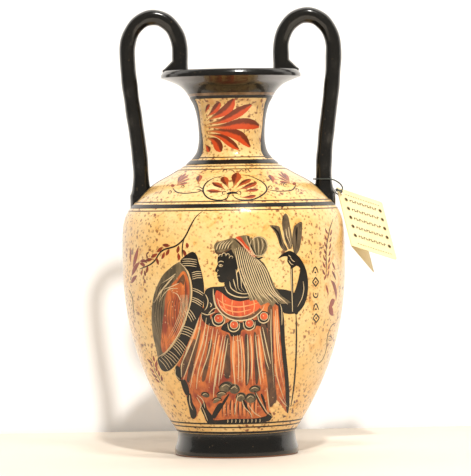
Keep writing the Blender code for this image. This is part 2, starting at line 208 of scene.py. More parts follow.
class Recipe:
    """One finish, mixed from nodes and poured into a Principled shader."""

    def __init__(self, name, coat=0.0, roughness=0.4, specular=0.5):
        self.material = bpy.data.materials.new(name)
        self.material.use_nodes = True
        self.tree = self.material.node_tree
        self.shader = self.tree.nodes["Principled BSDF"]
        self.shader.inputs["Coat Weight"].default_value = coat
        self.shader.inputs["Coat Roughness"].default_value = 0.06
        self.shader.inputs["Roughness"].default_value = roughness
        self.shader.inputs["Specular IOR Level"].default_value = specular
        self.place = self.node("ShaderNodeTexCoord", output="Object")

    def node(self, kind, values=(), output=0, stops=None, **settings):
        """Any node: its settings first, then the values or links of its sockets."""
        made = self.tree.nodes.new(kind)
        for name, setting in settings.items():
            setattr(made, name, setting)
        if stops:
            ramp = made.color_ramp
            while len(ramp.elements) < len(stops):
                ramp.elements.new(0.5)
            for element, (position, colour) in zip(ramp.elements, stops):
                element.position = position
                element.color = (*colour, 1)
        for key, value in values.items() if isinstance(values, dict) else enumerate(values):
            self.feed(made.inputs[key], value)
        return Value(self, made.outputs[output])

    def feed(self, socket, value):
        if isinstance(value, Value):
            self.tree.links.new(value.socket, socket)
        elif socket.type == "RGBA" and len(value) == 3:
            socket.default_value = (*value, 1)
        else:
            socket.default_value = value

    def pour(self, name, value):
        self.feed(self.shader.inputs[name], value)

    def mix(self, factor, first, second, kind="MIX"):
        return self.node(
            "ShaderNodeMix", {0: factor, 6: first, 7: second}, output=2,
            data_type="RGBA", blend_type=kind,
        )

    def stretched(self, across, around, up):
        """Object coordinates stretched along each axis."""
        return self.node(
            "ShaderNodeVectorMath", (self.place, (across, around, up)), operation="MULTIPLY"
        )

    def noise(self, scale, detail=3.0, rough=0.5, place=None, twist=0.0):
        return self.node(
            "ShaderNodeTexNoise",
            {
                "Vector": place or self.place, "Scale": scale, "Detail": detail,
                "Roughness": rough, "Distortion": twist,
            },
        )

    def dots(self, scale, place=None, output="Distance"):
        return self.node(
            "ShaderNodeTexVoronoi", {"Vector": place or self.place, "Scale": scale},
            output=output,
        )

    def grey_of(self, colour):
        return self.node("ShaderNodeSeparateColor", (colour,), output=0)

    def bump(self, height, distance, strength=1.0):
        self.pour(
            "Normal",
            self.node(
                "ShaderNodeBump",
                {"Height": height, "Distance": distance, "Strength": strength},
            ),
        )

    def brush(self, part):
        """Along the stroke is X, across it is Y and the stroke's own number is Z."""
        held = self.node("ShaderNodeAttribute", output="Vector", attribute_name="brush")
        return self.node("ShaderNodeSeparateXYZ", (held,), output=part)


def specks(recipe, scale, size, share):
    """Irregular splashes: one in a cell of a Voronoi net, kept in a share of the cells."""
    wander = recipe.noise(scale * 2.2, 2.0)
    place = recipe.node(
        "ShaderNodeVectorMath",
        (recipe.place, recipe.node(
            "ShaderNodeVectorMath",
            {0: recipe.node(
                "ShaderNodeTexNoise", {"Vector": recipe.place, "Scale": scale * 1.6}, output=1
            ), 3: 0.9 / scale},
            operation="SCALE",
        )),
        operation="ADD",
    )
    near = recipe.dots(scale, place)
    kept = recipe.grey_of(recipe.dots(scale, place, output="Color")).step(share, share - 0.06)
    return near.step(size, size * 0.45) * kept * wander.step(0.28, 0.42)


def cream_glaze(name, slip, clay, bare):
    """Cream slip under a clear glaze: mottled, speckled and stained; bare clay where masked."""
    finish = Recipe(name, coat=0.45, roughness=0.28, specular=0.5)
    cloud = finish.noise(38.0, 4.0, 0.6)
    grain = finish.noise(620.0, 3.0, 0.7)
    warm = finish.mix(cloud.step(0.34, 0.66), slip, tuple(c * k for c, k in zip(slip, (1.0, 0.86, 0.62))))
    grained = finish.mix(
        grain.step(0.45, 0.72) * 0.45, warm, tuple(c * k for c, k in zip(slip, (0.80, 0.62, 0.42)))
    )
    stain = finish.noise(88.0, 3.0, 0.6, twist=0.6).step(0.57, 0.70) * 0.75
    stained = finish.mix(stain, grained, (0.70, 0.33, 0.055))
    fine = specks(finish, 420.0, 0.46, 0.66) * 0.85
    rust = specks(finish, 240.0, 0.40, 0.50) * 0.9
    dark = specks(finish, 150.0, 0.26, 0.42)
    crowd = finish.noise(24.0, 2.0).step(0.30, 0.55)
    speckled = finish.mix(fine * (0.45 + crowd * 0.55), stained, (0.30, 0.11, 0.02))
    splashed = finish.mix(rust * crowd, speckled, (0.20, 0.035, 0.008))
    spotted = finish.mix(dark * crowd, splashed, (0.075, 0.012, 0.006))
    clayish = finish.mix(grain.step(0.3, 0.7), clay, tuple(c * 0.72 for c in clay))
    finish.pour("Base Color", finish.mix(bare(finish), spotted, clayish))
    finish.pour("Roughness", 0.24 + grain * 0.10 + bare(finish) * 0.45)
    rings = finish.noise(1.0, 2.0, place=finish.stretched(6.0, 6.0, 420.0))
    finish.bump(grain * 0.25 + cloud * 0.4 + rings * 0.45, 0.00018, 0.5)
    return finish.material


def black_glaze(name, black, clay=None, bare=None):
    """Thick black glaze, browner and duller where it ran thin."""
    finish = Recipe(name, coat=0.5, roughness=0.2, specular=0.4)
    cloud = finish.noise(55.0, 4.0, 0.6)
    grain = finish.noise(900.0, 2.0)
    thin = cloud.step(0.62, 0.82) * 0.6
    colour = finish.mix(thin, black, (0.045, 0.026, 0.012))
    dust = specks(finish, 520.0, 0.30, 0.10) * 0.35
    colour = finish.mix(dust, colour, (0.16, 0.11, 0.06))
    roughness = 0.16 + cloud * 0.16
    if bare:
        masked = bare(finish)
        colour = finish.mix(masked, colour, finish.mix(grain, clay, tuple(c * 0.6 for c in clay)))
        roughness = roughness + masked * 0.5
    finish.pour("Base Color", colour)
    finish.pour("Roughness", roughness)
    finish.bump(cloud * 0.9 + grain * 0.15, 0.0004, 0.55)
    return finish.material


def brushed_paint(name, light, deep, streak=(260.0, 260.0, 26.0), rub=0.2, coat=0.2):
    """A coat laid on with a soft brush: streaked from light to deep and rubbed in spots."""
    finish = Recipe(name, coat=coat, roughness=0.3, specular=0.5)
    streaks = finish.noise(1.0, 3.0, 0.62, place=finish.stretched(*streak))
    pool = finish.noise(70.0, 3.0, 0.55)
    grain = finish.noise(1100.0, 2.0)
    depth = (streaks * 0.7 + pool * 0.45).step(0.42, 0.74)
    colour = finish.mix(depth, light, deep)
    worn = specks(finish, 600.0, 0.36, rub)
    finish.pour("Base Color", finish.mix(worn * 0.7, colour, (0.70, 0.45, 0.20)))
    finish.pour("Roughness", 0.24 + streaks * 0.16)
    finish.bump(streaks * 0.6 + grain * 0.3, 0.00012, 0.6)
    return finish.material


def two_tone_paint(name, light, deep):
    """A loaded brush stroke: deep along one edge, light along the other, dry at its root."""
    finish = Recipe(name, coat=0.2, roughness=0.3, specular=0.4)
    grain = finish.noise(420.0, 3.0, 0.7)
    side = finish.brush(1) + (grain - 0.5) * 0.35
    colour = finish.mix(side.step(0.40, 0.62), light, deep)
    pale = (0.62, 0.30, 0.09)
    root = finish.brush(0).step(0.42, 0.02) * (0.35 + grain * 0.6)
    finish.pour("Base Color", finish.mix(root, colour, pale))
    finish.pour("Roughness", 0.24 + grain * 0.14)
    finish.bump(grain, 0.0001, 0.5)
    return finish.material


def line_paint(name, full, thin, spotted=0.3):
    """Fine lines from a pointed brush, a little transparent where they thin out."""
    finish = Recipe(name, coat=0.15, roughness=0.32, specular=0.35)
    flow = finish.noise(260.0, 3.0, 0.65)
    ends = finish.brush(0).step(0.94, 1.0)
    mask = (flow.step(0.5, 0.75) * spotted + ends * 0.3).least(1.0)
    finish.pour("Base Color", finish.mix(mask, full, thin))
    finish.pour("Roughness", 0.26 + flow * 0.12)
    finish.bump(flow, 0.0001, 0.4)
    return finish.material


def card_paper(name, paper):
    """Stiff uncoated card: faint fibres, cloudy tone, slightly browned."""
    finish = Recipe(name, roughness=0.72, specular=0.3)
    cloud = finish.noise(55.0, 3.0, 0.5)
    fibre = finish.noise(1.0, 4.0, 0.7, place=finish.stretched(1500.0, 420.0, 900.0))
    toned = finish.mix(cloud.step(0.35, 0.7) * 0.5, paper, tuple(c * k for c, k in zip(paper, (0.95, 0.88, 0.72))))
    finish.pour("Base Color", finish.mix(fibre.step(0.5, 0.75) * 0.3, toned, tuple(c * 0.8 for c in paper)))
    finish.pour("Roughness", 0.66 + fibre * 0.16)
    finish.bump(fibre * 0.8 + cloud * 0.2, 0.00006, 0.6)
    return finish.material


def stamped_ink(name):
    """Dry brown-black ink stamped on card."""
    finish = Recipe(name, roughness=0.6, specular=0.3)
    press = finish.noise(1400.0, 3.0, 0.7)
    finish.pour("Base Color", finish.mix(press.step(0.45, 0.7) * 0.6, (0.10, 0.06, 0.02), (0.42, 0.30, 0.12)))
    finish.pour("Roughness", 0.55 + press * 0.2)
    return finish.material


def twisted_thread(name):
    """Dark waxed thread, its plies winding round it."""
    finish = Recipe(name, roughness=0.7, specular=0.35)
    finish.shader.inputs["Sheen Weight"].default_value = 0.3
    plies = finish.node(
        "ShaderNodeTexWave",
        {"Vector": finish.place, "Scale": 900.0, "Distortion": 1.5, "Detail": 2.0},
        output=1, wave_type="BANDS", bands_direction="DIAGONAL",
    )
    fuzz = finish.noise(2600.0, 2.0, 0.7)
    colour = finish.mix(plies.step(0.3, 0.8), (0.012, 0.016, 0.014), (0.085, 0.10, 0.085))
    finish.pour("Base Color", finish.mix(fuzz.step(0.6, 0.8) * 0.4, colour, (0.20, 0.21, 0.18)))
    finish.pour("Roughness", 0.6 + fuzz * 0.25)
    finish.bump(plies * 0.8 + fuzz * 0.3, 0.00012, 0.7)
    return finish.material


def table_top(name, tint):
    """A pale painted board."""
    finish = Recipe(name, roughness=0.55, specular=0.3)
    cloud = finish.noise(9.0, 4.0, 0.6)
    grain = finish.noise(1.0, 4.0, 0.7, place=finish.stretched(30.0, 260.0, 260.0))
    mottled = finish.mix(cloud * 0.25 + grain * 0.2, tint, tuple(c * 0.90 for c in tint))
    finish.pour("Base Color", mottled)
    finish.pour("Roughness", 0.5 + grain * 0.15)
    finish.bump(grain, 0.0002, 0.25)
    return finish.material


def white_wall(name):
    finish = Recipe(name, roughness=0.9, specular=0.1)
    cloud = finish.noise(3.0, 3.0)
    finish.pour("Base Color", finish.mix(cloud, (0.99, 0.99, 0.99), (0.95, 0.95, 0.95)))
    finish.pour("Roughness", 0.85 + cloud * 0.1)
    # from behind it lets the pot be seen
    clear = finish.node("ShaderNodeBsdfTransparent")
    behind = finish.node("ShaderNodeNewGeometry", output="Backfacing")
    shown = finish.node(
        "ShaderNodeMixShader", {0: behind, 1: Value(finish, finish.shader.outputs[0]), 2: clear}
    )
    finish.feed(finish.tree.nodes["Material Output"].inputs["Surface"], shown)
    return finish.material


# ---- Outlines of the pot ----


def smooth_line(points, steps):
    """A Catmull-Rom line through the points, with this many steps between each two."""
    ends = [2 * points[0] - points[1], *points, 2 * points[-1] - points[-2]]
    line = []
    for before, start, stop, after in zip(ends, ends[1:], ends[2:], ends[3:]):
        for step in range(steps):
            t = step / steps
            bend = 2 * before - 5 * start + 4 * stop - after
            twist = 3 * start - before - 3 * stop + after
            line.append(start + t / 2 * ((stop - before) + t * (bend + t * twist)))
    return [*line, points[-1]]


def closed_line(points, steps):
    """The same, closed on itself."""
    ring = [points[-1], *points, points[0], points[1]]
    line = smooth_line(ring, steps)
    return line[steps : steps * (len(points) + 1)]


def offset_line(line, distance):
    """The line moved sideways: to the left of its direction when distance is positive."""
    moved = []
    for index, point in enumerate(line):
        along = (line[min(index + 1, len(line) - 1)] - line[max(index - 1, 0)]).normalized()
        moved.append(point + distance * Vector((-along.y, along.x)))
    return moved


BODY_BASE_Z = FOOT_TOP_Z
BODY_BASE_RADIUS = 0.0399
BELLY_RISE = 0.1177
BELLY_Z = FOOT_TOP_Z + 0.0003 + BELLY_RISE
NECK_SEAT_RADIUS = 0.0310
NECK_WAIST_RADIUS = 0.0220
MOUTH_SEAT_RADIUS = 0.0280


def body_skin():
    """The body's outside from its base to the neck seat, as (radius, height)."""
    low_z = FOOT_TOP_Z + 0.0003
    lower = []
    for step in range(60):
        rise = step / 60
        fullness = 1 - (1 - rise) ** 2.3
        lower.append(Vector((
            BODY_BASE_RADIUS + (BELLY_RADIUS - BODY_BASE_RADIUS) * fullness,
            low_z + rise * BELLY_RISE,
        )))
    reach = BELLY_RADIUS - NECK_SEAT_RADIUS
    shoulder_rise = BODY_TOP_Z - BELLY_Z
    upper = [
        Vector((BELLY_RADIUS - inward * reach, BELLY_Z + rise * shoulder_rise))
        for rise, inward in (
            (0.0, 0.0), (0.24, 0.006), (0.42, 0.045), (0.56, 0.163), (0.77, 0.455),
            (0.90, 0.765), (1.0, 1.0),
        )
    ]
    return lower + smooth_line(upper, 12)


def neck_skin():
    """The neck's outside from its seat to the mouth, as (radius, height)."""
    flare = NECK_SEAT_RADIUS - NECK_WAIST_RADIUS
    gape = MOUTH_SEAT_RADIUS - NECK_WAIST_RADIUS
    base_z = BODY_TOP_Z + 0.0003
    stations = [
        Vector((NECK_WAIST_RADIUS + share, base_z + rise * (NECK_TOP_Z - base_z)))
        for rise, share in (
            (0.0, flare), (0.10, 0.47 * flare), (0.21, 0.14 * flare), (0.40, 0.0),
            (0.66, 0.13 * gape), (0.86, 0.47 * gape), (1.0, gape),
        )
    ]
    return smooth_line(stations, 10)


def mouth_skin():
    """The mouth's flare from its seat out to the lip's lower edge, as (radius, height)."""
    reach = LIP_RADIUS - MOUTH_SEAT_RADIUS
    base_z = NECK_TOP_Z + 0.0003
    return smooth_line(
        [
            Vector((MOUTH_SEAT_RADIUS + out * reach, base_z + rise * 0.0129))
            for out, rise in ((0.0, 0.0), (0.17, 0.34), (0.39, 0.63), (0.72, 0.85), (1.0, 1.0))
        ],
        8,
    )


def mouth_top():
    """The mouth's upper side from the lip's tip in and down to its throat."""
    reach = LIP_RADIUS - 0.0205
    return smooth_line(
        [
            Vector((LIP_RADIUS - inward * reach, RIM_Z - drop * 0.0174))
            for inward, drop in (
                (0.0, 0.15), (0.06, 0.02), (0.13, 0.0), (0.34, 0.17), (0.60, 0.42),
                (0.83, 0.74), (1.0, 1.0),
            )
        ],
        5,
    )


# ---- Making pieces ----


def vessel_settings():
    return bpy.context.scene.amphora_vessel


def paint_settings():
    return bpy.context.scene.amphora_paint


def add_piece(name, form, material, body="vessel", sharp=40):
    """The form as an object at the origin that rides on a body."""
    mesh = bpy.data.meshes.new(name)
    form.to_mesh(mesh)
    form.free()
    mesh.materials.append(material)
    mesh.shade_smooth()
    mesh.set_sharp_from_angle(angle=math.radians(sharp))
    piece = bpy.data.objects.new(name, mesh)
    bpy.context.scene.collection.objects.link(piece)
    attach(piece, body)
    return piece


def turned(outline, closed, inside_from=None):
    """A section spun round Z. Points from inside_from on are marked as inside, left bare."""
    form = bmesh.new()
    bare = form.verts.layers.float.new("bare")
    corners = []
    for index, point in enumerate(outline):
        corner = form.verts.new((point.x, 0, point.y))
        corner[bare] = 1.0 if inside_from is not None and index >= inside_from else 0.0
        corners.append(corner)
    pairs = list(zip(corners, corners[1:]))
    if closed:
        pairs.append((corners[-1], corners[0]))
    edges = [form.edges.new(pair) for pair in pairs]
    bmesh.ops.spin(
        form, geom=corners + edges, cent=(0, 0, 0), axis=(0, 0, 1),
        angle=math.tau, steps=vessel_settings().sides, use_merge=True,
    )
    bmesh.ops.remove_doubles(form, verts=form.verts, dist=1e-6)
    bmesh.ops.recalc_face_normals(form, faces=form.faces)
    return form


def tube(line, radii, sides_resolution=7):
    """A closed round tube through the stations, with a radius at each."""
    curve = bpy.data.curves.new("coil_line", "CURVE")
    curve.dimensions = "3D"
    curve.bevel_depth = 1.0
    curve.bevel_resolution = sides_resolution
    curve.use_fill_caps = True
    spline = curve.splines.new("POLY")
    spline.points.add(len(line) - 1)
    for point, place, radius in zip(spline.points, line, radii):
        point.co = (*place, 1)
        point.radius = radius
    guide = bpy.data.objects.new("coil_guide", curve)
    bpy.context.scene.collection.objects.link(guide)
    mesh = bpy.data.meshes.new_from_object(
        guide.evaluated_get(bpy.context.evaluated_depsgraph_get())
    )
    bpy.data.objects.remove(guide)
    form = bmesh.new()
    form.from_mesh(mesh)
    bpy.data.meshes.remove(mesh)
    bmesh.ops.remove_doubles(form, verts=form.verts, dist=1e-6)
    bmesh.ops.recalc_face_normals(form, faces=form.faces)
    return form


def bare_inside(finish):
    return finish.node("ShaderNodeAttribute", output="Fac", attribute_name="bare")


# ---- Laying paint on a skin ----

PETAL = (0.05, 0.16, 0.34, 0.58, 0.82, 0.98, 1.0, 0.80, 0.25)
LINE = (0.35, 0.8, 1.0, 1.0, 1.0, 1.0, 1.0, 0.8, 0.35)
LEAF = (0.12, 0.7, 1.0, 0.95, 0.65, 0.15)
TAIL = (0.5, 1.0, 1.0, 0.85, 0.6, 0.35, 0.12)
DEPTH = 0.00022


class Skin:
    """An outside of revolution. X runs round it in radians, Y up it in the same measure."""

    def __init__(self, line):
        self.line = line
        self.heights = [point.y for point in line]
        self.rises = [0.0]
        for low, high in zip(line, line[1:]):
            self.rises.append(self.rises[-1] + (high - low).length * 2 / (low.x + high.x))
        self.outs = []
        for index in range(len(line)):
            along = (line[min(index + 1, len(line) - 1)] - line[max(index - 1, 0)]).normalized()
            self.outs.append(Vector((along.y, -along.x)))

    def _where(self, keys, key):
        index = min(max(bisect.bisect_right(keys, key) - 1, 0), len(keys) - 2)
        return index, (key - keys[index]) / (keys[index + 1] - keys[index])

    def radius_at_rise(self, rise):
        index, share = self._where(self.rises, rise)
        return self.line[index].lerp(self.line[index + 1], share).x

    def radius_at_height(self, height):
        index, share = self._where(self.heights, height)
        return self.line[index].lerp(self.line[index + 1], share).x

    def rise_at_height(self, height):
        index, share = self._where(self.heights, height)
        return self.rises[index] + share * (self.rises[index + 1] - self.rises[index])

    def wrap(self, flat):
        """A flat (round, rise, lift) point in its place on the pot."""
        index, share = self._where(self.rises, flat.y)
        point = self.line[index].lerp(self.line[index + 1], share)
        point = point + self.outs[index].lerp(self.outs[index + 1], share).normalized() * flat.z
        return Vector((point.x * math.sin(flat.x), -point.x * math.cos(flat.x), point.y))

    def seen(self, across, up):
        """The flat place of a point seen from the front, given in millimetres."""
        aim = Vector((across * MM, 0, up * MM))
        near, far = 0.9, 1.0
        for _ in range(40):
            middle = (near + far) / 2
            point = EYE.lerp(aim, middle)
            if math.hypot(point.x, point.y) > self.radius_at_height(point.z):
                near = middle
            else:
                far = middle
        point = EYE.lerp(aim, far)
        return Vector((math.atan2(point.x, -point.y), self.rise_at_height(point.z)))

    def turned_to(self, degrees, across, up):
        """The flat place of a millimetre point, drawn round the pot from a bearing."""
        radius = self.radius_at_height(up * MM)
        return Vector((math.radians(degrees) + across * MM / radius, self.rise_at_height(up * MM)))


BODY = Skin(body_skin())
NECK = Skin(neck_skin())


class Coat:
    """One colour of paint: shapes laid flat, cut small to follow the skin, then wrapped."""

    def __init__(self, skin, bearing=None, mirror=False, bold=1.0):
        self.skin = skin
        self.bold = bold
        self.bearing = bearing
        self.mirror = mirror
        self.fills = bmesh.new()
        self.lines = bmesh.new()
        self.fill_brush = self.fills.verts.layers.float_vector.new("brush")
        self.line_brush = self.lines.verts.layers.float_vector.new("brush")
        self.count = 0

    def flat(self, points):
        placed = []
        for across, up in points:
            if self.mirror:
                across = -across
            if self.bearing is None:
                placed.append(self.skin.seen(across, up))
            else:
                placed.append(self.skin.turned_to(self.bearing, across, up))
        return placed

    def fill(self, points, lift=1.0, steps=3):
        """A filled shape inside a closed line through the points; steps=1 keeps its corners."""
        ring = self.flat(points)
        if steps > 1:
            ring = closed_line(ring, steps)
        area = sum(a.x * b.y - b.x * a.y for a, b in zip(ring, ring[1:] + ring[:1]))
        if area < 0:
            ring.reverse()
        self.count += 1
        corners = []
        for place in ring:
            corner = self.fills.verts.new((place.x, place.y, lift))
            corner[self.fill_brush] = (0.5, 0.5, self.count)
            corners.append(corner)
        self.fills.faces.new(corners)

    def stroke(self, points, width, lift=1.0, shape=LINE, steps=5, rows=1):
        """A brush stroke along a smooth line: width in millimetres, thick and thin by its shape."""
        line = smooth_line(self.flat(points), steps) if len(points) > 2 else self.flat(points)
        lengths = [0.0]
        for start, stop in zip(line, line[1:]):
            step = (stop - start).length * self.skin.radius_at_rise(start.y)
            lengths.append(lengths[-1] + max(step, 1e-9))
        count = max(6, math.ceil(lengths[-1] / 0.0011))
        stations = []
        for step in range(count + 1):
            wanted = lengths[-1] * step / count
            index = min(max(bisect.bisect_right(lengths, wanted) - 1, 0), len(line) - 2)
            share = (wanted - lengths[index]) / (lengths[index + 1] - lengths[index])
            stations.append(line[index].lerp(line[index + 1], share))
        self.count += 1
        made = bmesh.ops.create_grid(self.lines, x_segments=count, y_segments=rows, size=0.5)
        for corner in made["verts"]:
            share = corner.co.x + 0.5
            side = corner.co.y * 2
            index = round(share * count)
            along = (
                stations[min(index + 1, count)] - stations[max(index - 1, 0)]
            ).normalized()
            where = share * (len(shape) - 1)
            low = min(int(where), len(shape) - 2)
            swell = shape[low] + (shape[low + 1] - shape[low]) * (where - low)
            half = self.bold * width * MM / 2 * swell / self.skin.radius_at_rise(stations[index].y)
            place = stations[index] + Vector((-along.y, along.x)) * half * side
            corner.co = (place.x, place.y, lift)
            corner[self.line_brush] = (share, side / 2 + 0.5, self.count)

    def strokes(self, many, width, **settings):
        for points in many:
            self.stroke(points, width, **settings)

    def blob(self, across, up, half_width, half_height, turn=0.0, lift=1.0, sides=12):
        """An oval dab of the brush."""
        turned_by = Matrix.Rotation(math.radians(turn), 2)
        ring = []
        for step in range(sides):
            angle = math.tau * step / sides
            reach = turned_by @ Vector((half_width * math.cos(angle), half_height * math.sin(angle)))
            ring.append((across + reach.x, up + reach.y))
        self.fill(ring, lift=lift, steps=2)

    def hoop(self, across, up, radius, width, lift=1.0, height=None):
        """A closed oval line."""
        height = height or radius
        ring = []
        for step in range(17):
            angle = math.tau * step / 16
            ring.append((across + radius * math.cos(angle), up + height * math.sin(angle)))
        self.stroke(ring, width, lift=lift, shape=(1.0, 1.0), steps=3)

    def curl(self, across, up, radius, turns, start, width, lift=1.0, way=1):
        """A spiral that winds in to its centre."""
        points = []
        count = max(8, round(turns * 12))
        for step in range(count + 1):
            share = step / count
            angle = math.radians(start) + way * math.tau * turns * share
            reach = radius * (1 - 0.82 * share)
            points.append((across + reach * math.cos(angle), up + reach * math.sin(angle)))
        self.stroke(points, width, lift=lift, shape=TAIL)

    def cut(self, cell=0.0022):
        """Cuts the filled shapes on a net, so that they bend with the skin."""
        if not self.fills.verts:
            return
        for axis in (0, 1):
            values = [corner.co[axis] for corner in self.fills.verts]
            low, high = min(values), max(values)
            pitch = cell / 0.075 if self.skin is BODY else cell * 0.7 / 0.025
            for step in range(1, math.ceil((high - low) / pitch)):
                where = [0.0, 0.0, 0.0]
                facing = [0.0, 0.0, 0.0]
                where[axis] = low + (step - 0.4137) * pitch
                facing[axis] = 1.0
                bmesh.ops.bisect_plane(
                    self.fills,
                    geom=self.fills.verts[:] + self.fills.edges[:] + self.fills.faces[:],
                    plane_co=where, plane_no=facing, dist=1e-7,
                )

    def lay(self, name, material, slot="cream_slip"):
        """Gives the shapes their thickness, wraps them round the pot and adds the piece."""
        self.cut()
        relief = paint_settings().relief
        held = bpy.data.meshes.new(name + "_lines")
        self.lines.to_mesh(held)
        self.fills.from_mesh(held)
        self.lines.free()
        bpy.data.meshes.remove(held)
        form = self.fills
        for corner in form.verts:
            corner.co.z *= relief
        bmesh.ops.recalc_face_normals(form, faces=form.faces)
        turned_over = [face for face in form.faces if face.normal.z < 0]
        bmesh.ops.reverse_faces(form, faces=turned_over)
        bmesh.ops.solidify(form, geom=form.faces[:], thickness=DEPTH)
        for corner in form.verts:
            corner.co = self.skin.wrap(corner.co)
        return add_piece(name, form, material)


def band(form, skin, low, high, lift, wobble=0.0):
    """A painted ring round the pot between two heights in millimetres. The wobble is not used."""
    count = max(3, math.ceil((high - low) / 0.8))
    front, back = [], []
    for step in range(count + 1):
        height = (low + (high - low) * step / count) * MM
        rise = skin.rise_at_height(height)
        outer = skin.wrap(Vector((math.pi / 2, rise, lift * paint_settings().relief)))
        inner = skin.wrap(Vector((math.pi / 2, rise, lift * paint_settings().relief - DEPTH)))
        front.append(form.verts.new((outer.x, 0, outer.z)))
        back.append(form.verts.new((inner.x, 0, inner.z)))
    ring = [*front, *reversed(back)]
    edges = [form.edges.new(pair) for pair in zip(ring, ring[1:] + ring[:1])]
    made = bmesh.ops.spin(
        form, geom=ring + edges, cent=(0, 0, 0), axis=(0, 0, 1),
        angle=math.tau, steps=vessel_settings().sides, use_merge=True,
    )
    return made


def lay_bands(name, skin, heights, material, lift=2.0):
    form = bmesh.new()
    for low, high in heights:
        band(form, skin, low, high, lift)
    bmesh.ops.remove_doubles(form, verts=form.verts, dist=1e-7)
    bmesh.ops.recalc_face_normals(form, faces=form.faces)
    return add_piece(name, form, material)


# ---- The clay ----


def make_foot():
    settings = vessel_settings()
    outline = [
        Vector((0.0340, 0.0015)), Vector((0.0344, 0.0004)), Vector((0.0355, 0.0)),
        Vector((0.0402, 0.0)), Vector((0.0411, 0.0003)), Vector((0.0416, 0.0010)),
        Vector((0.0417, 0.0020)), Vector((0.0417, 0.0040)), Vector((0.0413, 0.0056)),
        Vector((0.0405, 0.0076)), Vector((0.0399, 0.0100)), Vector((0.0396, 0.0125)),
        Vector((0.0395, 0.0145)), Vector((0.0395, FOOT_TOP_Z)), Vector((0.0340, FOOT_TOP_Z)),
    ]
    form = turned(outline, closed=True)

    def resting_rim(finish):
        height = finish.node("ShaderNodeSeparateXYZ", (finish.place,), output=2)
        return height.step(0.0011, 0.0003)

    material = black_glaze(
        "foot_glaze", tuple(paint_settings().black), tuple(settings.clay), resting_rim
    )
    piece = add_piece("foot_ring", form, material)
    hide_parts("foot")


def make_body():
    settings = vessel_settings()
    outside = body_skin()
    floor_z = BODY_LOW.z + 0.006
    ledge_z = BODY_TOP_Z - 0.0043
    inside = [
        point for point in offset_line(outside, 0.0045)
        if floor_z + 0.00225 < point.y < ledge_z - 0.00225
    ]
    outline = [
        Vector((0, BODY_LOW.z)), Vector((0.0337, BODY_LOW.z)), Vector((0.0337, FOOT_TOP_Z)),
        Vector((outside[0].x - 0.0004, FOOT_TOP_Z)), *outside,
        Vector((0.0265, BODY_TOP_Z)), Vector((0.0265, ledge_z)),
        *reversed(inside), Vector((offset_line(outside, 0.0045)[0].x, floor_z)),
        Vector((0, floor_z)),
    ]
    form = turned(outline, closed=False, inside_from=len(outside) + 5)
    material = cream_glaze("body_slip", tuple(settings.slip), tuple(settings.clay), bare_inside)
    piece = add_piece("belly", form, material)
    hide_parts("body")


def make_neck():
    settings = vessel_settings()
    outside = neck_skin()
    inside = [
        point for point in offset_line(outside, 0.0043)
        if BODY_TOP_Z + 0.002 < point.y < NECK_TOP_Z - 0.0044
    ]
    outline = [
        Vector((0.0219, NECK_LOW.z)), Vector((0.0262, NECK_LOW.z)), Vector((0.0262, BODY_TOP_Z)),
        Vector((outside[0].x, BODY_TOP_Z)), *outside,
        Vector((0.0234, NECK_TOP_Z)), Vector((0.0234, NECK_TOP_Z - 0.0033)),
        Vector((inside[-1].x, NECK_TOP_Z - 0.0033)), *reversed(inside),
    ]
    form = turned(outline, closed=True, inside_from=len(outside) + 4)
    material = cream_glaze("neck_slip", tuple(settings.slip), tuple(settings.clay), bare_inside)
    piece = add_piece("throat", form, material)
    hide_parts("neck")


def make_mouth():
    top = mouth_top()
    outside = mouth_skin()
    outline = [
        Vector((top[-1].x, MOUTH_LOW.z)), Vector((0.0231, MOUTH_LOW.z)),
        Vector((0.0231, NECK_TOP_Z)), Vector((outside[0].x, NECK_TOP_Z)), *outside, *top,
    ]
    form = turned(outline, closed=True)
    material = black_glaze("mouth_glaze", tuple(paint_settings().black))
    piece = add_piece("flared_mouth", form, material)
    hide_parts("mouth")
    bare = Recipe("thin_glaze", coat=0.4, roughness=0.3)
    flow = bare.noise(180.0, 3.0, 0.6)
    bare.pour("Base Color", bare.mix(flow.step(0.35, 0.65), (0.30, 0.18, 0.085), (0.15, 0.08, 0.035)))
    bare.bump(flow, 0.0001, 0.5)
    lay_bands("mouth_thin_ring", Skin(mouth_skin()), [(241.0, 242.7)], bare.material, lift=1.0)


def coil_line(side):
    """The handle's middle, from the shoulder up, over its crown and down onto the mouth."""
    coil = vessel_settings().coil_radius
    root = Vector((0.0615, 0.174933))
    bow, lip = 0.0695, 0.0340
    spring, crown = 0.2720, 0.2947
    start = root.y - 0.0150
    leg = []
    for step in range(60):
        z = start + (spring - start) * step / 60
        share = min(max((z - root.y - 0.010) / (spring - root.y - 0.010), 0), 1)
        leg.append((root.x + (bow - root.x) * share * share * (3 - 2 * share), z))
    arch = []
    for step in range(49):
        turn = math.pi * step / 48
        arch.append((
            (bow + lip) / 2 + (bow - lip) / 2 * math.cos(turn),
            spring + (crown - spring) * math.sin(turn),
        ))
    drop = []
    landing = 0.2440
    for step in range(1, 19):
        share = step / 18
        drop.append((lip + 0.3 * coil * share * share, spring + (landing - spring) * share))
    return [Vector((side * x, 0, z)) for x, z in leg + arch + drop]


